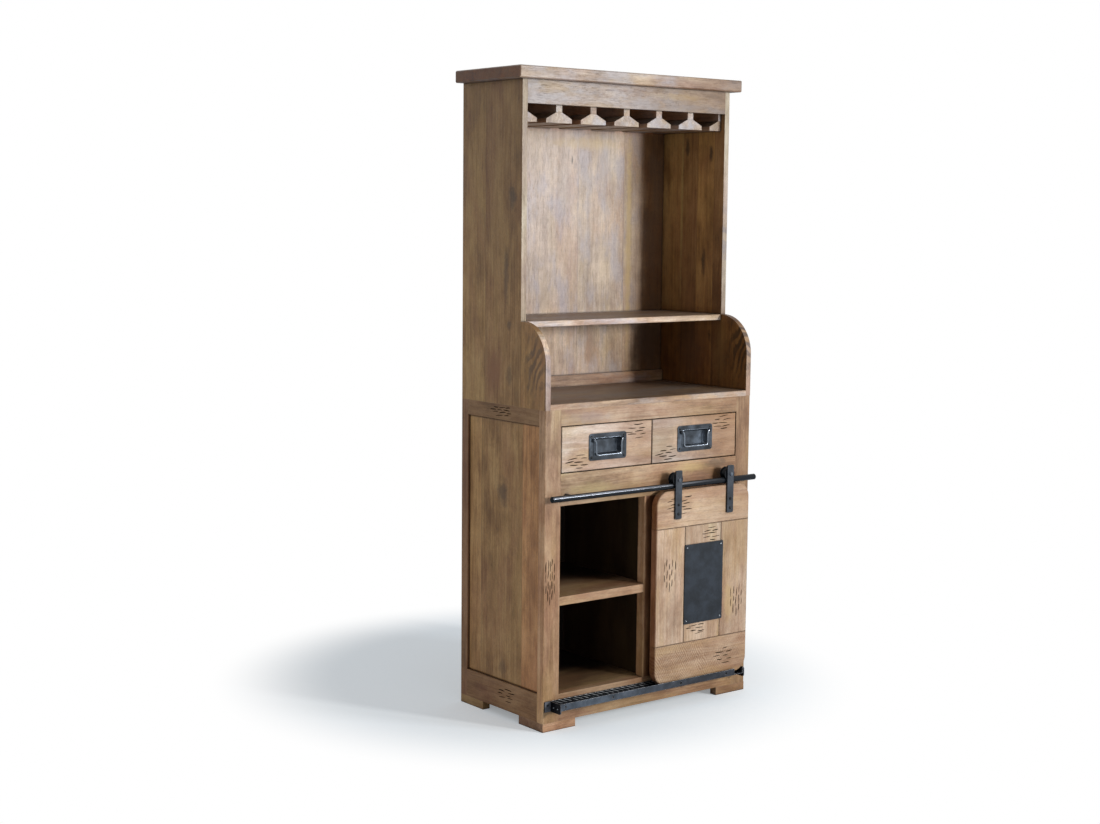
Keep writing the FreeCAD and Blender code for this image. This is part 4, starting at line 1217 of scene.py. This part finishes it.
@dataclass
class Drawer:
    """One drawer with its pull and bail."""

    side: str
    centre_x: float
    marks: tuple[tuple[float, float], ...]
    tint: Colour
    fades: tuple[Fade, ...]
    patches: tuple[Patch, ...] = ()
    front_y: float = -0.18
    centre_z: float = 0.8175
    plate_thickness: float = 0.002
    window: tuple[float, float] = (0.102, 0.05)
    bead_radius: float = 0.0014
    bead_corner: float = 0.005
    screw_reach: tuple[float, float] = (0.061, 0.03)
    screw_radius: float = 0.004
    wire_radius: float = 0.0025
    pivot_rise: float = 0.02
    pivot_standoff: float = 0.005
    drop: float = 0.044
    pin_reach: float = 0.0598
    bend_reach: float = 0.0515
    arm_reach: float = 0.0475
    bail_corner: float = 0.008

    @property
    def name(self) -> str:
        """The drawer's body, with which the names of its pieces begin."""
        return "drawer_" + self.side

    @property
    def plate_y(self) -> float:
        """The front of the pull's plate."""
        return self.front_y - self.plate_thickness

    def build(self) -> None:
        """Dress the drawer and add the fine parts of its pull."""
        front, box, pull = (self.name + part for part in ("_front", "_box", "_pull"))
        dress(front, FRONT_WOOD.material(Board(front, Axis.X, 1.0, self.tint, fades=self.fades,
                                               patches=self.patches, seam=0.85)))
        dress(box, DARK_WOOD.material(Board(box, Axis.Y, 1.3)))
        dress(pull, PULL_STEEL.material(pull, fades=self._pull_painted_light()))
        self._rim(pull)
        self._bail()
        across, up = self.screw_reach
        seats = [(x, self.plate_y, z) for x in (self.centre_x - across, self.centre_x + across)
                 for z in (self.centre_z - up, self.centre_z + up)]
        SmallScrews(self.name + "_screws", self.name, pull, seats, self.screw_radius).build(SCREW_STEEL)
        for index, (x, z) in enumerate(self.marks):
            centre = (x, self.front_y, z)
            ChiselMarks(f"{self.name}_marks_{index + 1}", self.name, front, centre, 0.074, 0.048).build()

    def _pull_painted_light(self) -> tuple[Fade, ...]:
        """Where the pull is painted lighter or darker: painted light in its cup and at its left, painted shade
        at its foot.

        Returns:
            The fades.
        """
        slope = 0.25
        right_wall = slope * self.centre_x + self.front_y
        return (Fade(BACKWARD, self.front_y, self.front_y + 0.006, grey(1.65), 0.0),
                Fade((slope, 1.0, 0.0), right_wall + 0.016, right_wall + 0.024, grey(2.3), 0.0),
                Fade(LEFTWARD, 0.05 - self.centre_x, 0.06 - self.centre_x, grey(1.8), 0.0),
                Fade(DOWNWARD, 0.025 - self.centre_z, 0.033 - self.centre_z, (0.6, 0.62, 0.64), 0.0))

    def _rim(self, pull: str) -> None:
        """Add the rolled bead round the window of the pull.

        Args:
            pull: The pull's node.
        """
        reach_x, reach_z = (size / 2 + 0.0008 - self.bead_corner for size in self.window)
        path = []
        for right, up, start in ((1, 1, 0), (-1, 1, 90), (-1, -1, 180), (1, -1, 270)):
            x, z = self.centre_x + right * reach_x, self.centre_z + up * reach_z
            path += quarter(x, z, self.bead_corner, start)
        draft = MeshDraft()
        draft.tube([Vector((x, self.plate_y, z)) for x, z in path], self.bead_radius, 12, closed=True)
        draft.piece(self.name + "_rim", self.name, pull, WIRE_STEEL.material(self.name + "_rim"))

    def _bail(self) -> None:
        """Add the bent wire of the bail in place of its plain solid."""
        y = self.plate_y - self.pivot_standoff
        top = self.centre_z + self.pivot_rise
        bottom = top - self.drop
        bend, arm, corner = self.bend_reach, self.arm_reach, self.bail_corner
        half = [(self.pin_reach, top), (bend + 0.0035, top), (bend + 0.0008, top - 0.0006),
                (bend - 0.0012, top - 0.003), (arm + 0.0006, top - 0.0085), (arm, top - 0.0125),
                (arm, bottom + 0.009), *quarter(arm - corner, bottom + corner, corner, 0, -1)[1:]]
        path = [Vector((self.centre_x - x, y, z)) for x, z in half]
        path += [Vector((self.centre_x + x, y, z)) for x, z in reversed(half)]
        node = self.name + "_bail"
        draft = MeshDraft()
        draft.tube(path, self.wire_radius, 16)
        bail = draft.piece(node + "_wire", "bail_" + self.side, node, BAIL_STEEL.material(node + "_wire"))
        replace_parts(bail, node)


def door_marks(name: str, plank: str, x: float, z: float, *shape: float | bool) -> ChiselMarks:
    """Chisel marks at a place on the front of one of the door's planks."""
    return ChiselMarks("marks_" + name, "door", "door_plank_" + plank, (x, -0.22, z), *shape)


# Painted shade: the planks' left faces darker and redder
DOOR_EDGE: Faces = ((LEFTWARD, (0.85, 0.58, 0.45)),)


@dataclass
class PlankDoor(Woodwork):
    """The sliding door: five planks, its blank plate and its hangers."""

    finish: WoodFinish = FRONT_WOOD
    boards: tuple[Board, ...] = (
        Board("door_plank_top", Axis.X, 1.12, (1.0, 1.0, 0.98), faces=DOOR_EDGE,
              fades=(Fade(RIGHTWARD, 0.1, 0.32, (0.74, 0.7, 0.66)),), seam=0.75),
        Board("door_plank_bottom", Axis.X, 0.9, (1.03, 1.0, 0.95), faces=DOOR_EDGE,
              seam=0.75, figure=0.14),
        Board("door_plank_left", Axis.Z, 1.12, (1.0, 1.03, 1.06), faces=DOOR_EDGE,
              seam=0.75, patches=patches_on(Axis.Y, -0.22, (0.06, 0.29, 0.04, 0.08, SMUDGE_AND_SHADOW, 0.25))),
        Board("door_plank_middle", Axis.Z, 1.02, fades=(Fade(UPWARD, 0.4, 0.55, (1.12, 1.3, 1.4)),), seam=0.75),
        Board("door_plank_right", Axis.Z, 0.9, seam=0.75,
              patches=patches_on(Axis.Y, -0.22, (0.29, 0.3, 0.025, 0.07, HONEY_STAIN, 0.4))),
    )
    marks: tuple[ChiselMarks, ...] = (
        door_marks("door_top", "top", 0.086, 0.623, 0.1, 0.058, 6),
        door_marks("door_middle_top", "middle", 0.211, 0.526, 0.066, 0.046),
        door_marks("door_middle_low", "middle", 0.158, 0.236, 0.078, 0.038, 4),
        door_marks("door_left", "left", 0.043, 0.421, 0.052, 0.092, 5, 3, 0.025, True),
        door_marks("door_right", "right", 0.32, 0.309, 0.056, 0.088, 5, 3, 0.025, True),
        door_marks("door_bottom", "bottom", 0.275, 0.137, 0.075, 0.056),
    )
    plate_front_y: float = -0.2225
    plate_screws_x: tuple[float, ...] = (0.111, 0.249)
    plate_screws_z: tuple[float, ...] = (0.266, 0.491)
    strap_front_y: float = -0.225
    straps_x: tuple[float, ...] = (0.071, 0.282)
    strap_screws_z: tuple[float, ...] = (0.599, 0.627)

    def build(self) -> None:
        """Dress the planks, then the steel on them."""
        super().build()
        dress("door_plate", PLATE_STEEL.material("door_plate"))
        dress("axle_bolts", TRACK_STEEL.material("axle_bolts"))
        for side in ("left", "right"):
            dress("strap_" + side, BLACK_STEEL.material("strap_" + side))
            dress("wheel_" + side, WHEEL_STEEL.material("wheel_" + side))
        seats = [(x, self.plate_front_y, z) for z in self.plate_screws_z for x in self.plate_screws_x]
        SmallScrews("door_plate_screws", "door", "door_plate", seats, 0.003).build(PIN_STEEL)
        seats = [(x, self.strap_front_y, z) for x in self.straps_x for z in self.strap_screws_z]
        heads = SmallScrews("strap_screw_heads", "door", "strap_screws", seats, 0.0045, 0.003)
        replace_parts(heads.build(SCREW_STEEL), "strap_screws")


@dataclass
class RunningGear:
    """The round bar, its fixings and the track at the door's foot."""

    # The side of the bar that gets a painted highlight line
    bar_highlight_side: Point = (0.0, -0.839, 0.545)
    back_wall_y: float = -0.1825
    leg_y: float = -0.183
    screw_height: float = 0.08
    track_screws_x: tuple[float, ...] = (-0.353, -0.1763, 0.0904, 0.2779)
    leg_screws_x: tuple[float, ...] = (-0.3845, 0.3635)
    end_screws_y: tuple[float, ...] = (-0.198, -0.217)
    end_screws_z: float = 0.074
    end_plates: tuple[tuple[str, float, Point], ...] = (("left", -0.374, LEFTWARD), ("right", 0.353, RIGHTWARD))
    # Painted light: bracket faces looking left near black, faces looking front lighter
    bracket_faces: Faces = ((LEFTWARD, (0.08, 0.08, 0.1)), (FRONTWARD, (1.8, 1.75, 1.7)))
    # Painted shade inside the channel behind its front lip; the channel also darker toward the right
    channel_fades: tuple[Fade, ...] = (Fade(BACKWARD, -0.222, -0.214, grey(0.12), 0.0),
                                       Fade(RIGHTWARD, -0.28, 0.22, (0.38, 0.34, 0.34), 0.06))

    def build(self) -> None:
        """Dress the steel and add the screws of the track."""
        dress("bar_fixings", BLACK_STEEL.material("bar_fixings"))
        dress("door_bar", BAR_STEEL.material("door_bar", highlight_side=self.bar_highlight_side))
        channel = TRACK_STEEL.material("track_channel", self.back_wall_y, fades=self.channel_fades)
        dress("track_channel", channel)
        for screws, slot, xs, y, radius, finish in (
                ("track_screws", "track_channel", self.track_screws_x, self.back_wall_y, 0.0034, WHEEL_STEEL),
                ("bracket_screws", "track_bracket_left", self.leg_screws_x, self.leg_y, 0.0038, SCREW_STEEL)):
            SmallScrews(screws, "cabinet", slot, [(x, y, self.screw_height) for x in xs], radius).build(finish)
        for side, x, out in self.end_plates:
            node = "track_bracket_" + side
            dress(node, BRACKET_STEEL.material(node, faces=self.bracket_faces))
            seats = [(x, y, self.end_screws_z) for y in self.end_screws_y]
            SmallScrews("end_screws_" + side, "cabinet", node, seats, 0.0022, out=out).build(PIN_STEEL)


# ---- studio


@dataclass(frozen=True)
class SoftBox:
    """A rectangular soft light and what it is aimed at."""

    name: str
    place: Point
    aim: Point
    size: tuple[float, float]
    power: float
    colour: Colour

    def build(self) -> None:
        """Hang the light."""
        data = bpy.data.lights.new(self.name, "AREA")
        data.shape = "RECTANGLE"
        data.size, data.size_y = self.size
        data.energy = self.power
        data.color = self.colour
        light = bpy.data.objects.new(self.name, data)
        light.location = self.place
        look = Vector(self.aim) - Vector(self.place)
        light.rotation_euler = look.to_track_quat("-Z", "Y").to_euler()
        bpy.context.scene.collection.objects.link(light)


@dataclass
class Studio:
    """Floor, lights and camera."""

    camera_place: Point = (-3.3798, -4.0417, 1.4844)
    yaw: float = 0.6598
    pitch: float = 0.113
    roll: float = 0.0096
    lens: float = 56.98
    sensor: float = 36.0
    floor_reach: float = 14.0
    floor_centre: Point = (-0.02, 0.36, 0.0)
    floor_colour: Colour = (0.84, 0.9, 0.95)
    floor_glow: tuple[Colour, float] = ((0.95, 0.98, 1.0), 0.28)
    floor_white: tuple[float, float] = (0.62, 1.05)
    fill: tuple[Colour, float] = ((0.94, 0.97, 1.0), 0.38)
    lights: tuple[SoftBox, ...] = (
        SoftBox("key_light", (1.9, -4.6, 1.75), (0.0, 0.0, 1.1), (0.42, 0.6), 125.0, (1.0, 0.985, 0.95)),
        SoftBox("window_light", (2.75, -4.1, 2.0), (0.0, 0.0, 1.6), (0.9, 1.2), 75.0, (0.88, 0.94, 1.0)),
    )

    def build(self) -> None:
        """Set the stage round the cabinet."""
        self._camera()
        for light in self.lights:
            light.build()
        self._floor()
        self._surround()
        bpy.context.scene.view_settings.view_transform = "Standard"

    def _camera(self) -> None:
        """Place the camera where the photograph was taken from."""
        forward = Vector((math.sin(self.yaw) * math.cos(self.pitch), math.cos(self.yaw) * math.cos(self.pitch),
                          -math.sin(self.pitch)))
        right = Vector((math.cos(self.yaw), -math.sin(self.yaw), 0))
        up = right.cross(forward)
        turned_right = right * math.cos(self.roll) + up * math.sin(self.roll)
        turned_up = up * math.cos(self.roll) - right * math.sin(self.roll)
        data = bpy.data.cameras.new("camera")
        data.lens = self.lens
        data.sensor_width = self.sensor
        camera = bpy.data.objects.new("camera", data)
        columns = Matrix((turned_right, turned_up, -forward)).transposed()
        camera.matrix_world = Matrix.Translation(self.camera_place) @ columns.to_4x4()
        bpy.context.scene.collection.objects.link(camera)
        bpy.context.scene.camera = camera

    def _floor(self) -> None:
        """Lay a pale floor that keeps the cabinet's soft shadow and reads as white beyond it."""
        draft = bmesh.new()
        bmesh.ops.create_grid(draft, x_segments=8, y_segments=8, size=self.floor_reach)
        data = bpy.data.meshes.new("floor")
        draft.to_mesh(data)
        draft.free()
        sheet = ShaderSheet.for_material("studio_floor")
        away = sheet.length(sheet.vector("SUBTRACT", sheet.object_place(), self.floor_centre))
        matt = sheet.wire("BsdfDiffuse", 0, {}, {"Color": self.floor_colour})
        lit = sheet.wire("AddShader", 0, {}, {0: matt, 1: sheet.light("Emission", *self.floor_glow)})
        shown = sheet.either(sheet.between(away, *self.floor_white), lit, sheet.light("Emission", WHITE))
        mixed = sheet.either(sheet.wire("LightPath", "Is Camera Ray"), matt, shown)
        sheet.node("OutputMaterial", {}, {"Surface": mixed})
        data.materials.append(sheet.owner)
        floor = bpy.data.objects.new("floor", data)
        bpy.context.scene.collection.objects.link(floor)

    def _surround(self) -> None:
        """Add soft light from all round, and white where the camera or a reflection sees it."""
        world = bpy.data.worlds.new("studio")
        bpy.context.scene.world = world
        sheet = ShaderSheet(world)
        seen = sheet.maths("MAXIMUM", *(sheet.wire("LightPath", f"Is {kind} Ray")
                                        for kind in ("Camera", "Glossy")))
        mixed = sheet.either(seen, sheet.light("Background", *self.fill), sheet.light("Background", WHITE))
        sheet.node("OutputWorld", {}, {"Surface": mixed})


def drawers() -> list[Drawer]:
    """The two drawers, each with its two clusters of marks.

    Returns:
        The left and the right drawer.
    """
    # Painted light: tints lighter and bluer as sheen, fades darker toward the right as shade
    return [Drawer("left", -0.170875, ((-0.28, 0.78), (-0.057, 0.853)), (1.32, 1.5, 1.78),
                   (Fade(RIGHTWARD, -0.26, -0.04, (0.69, 0.58, 0.5)),)),
            Drawer("right", 0.170875, ((0.0625, 0.779), (0.2855, 0.856)), (0.92, 1.03, 1.24),
                   (Fade(RIGHTWARD, 0.08, 0.3, (0.72, 0.52, 0.34)),),
                   patches_on(Axis.Y, -0.18, (0.16, 0.818, 0.09, 0.056, (0.68, 0.46, 0.31), 0.62)))]


def main() -> None:
    """Build the scene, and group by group."""
    logging.basicConfig(level=logging.INFO, format="%(message)s")
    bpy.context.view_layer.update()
    Studio().build()
    for group in (FaceFrame(), SideFrames(), BaseInterior(), Hutch(), GlassRack(), *drawers(), PlankDoor(),
                  RunningGear()):
        log.info("building %s", type(group).__name__)
        group.build()


if __name__ == "__main__":
    main()
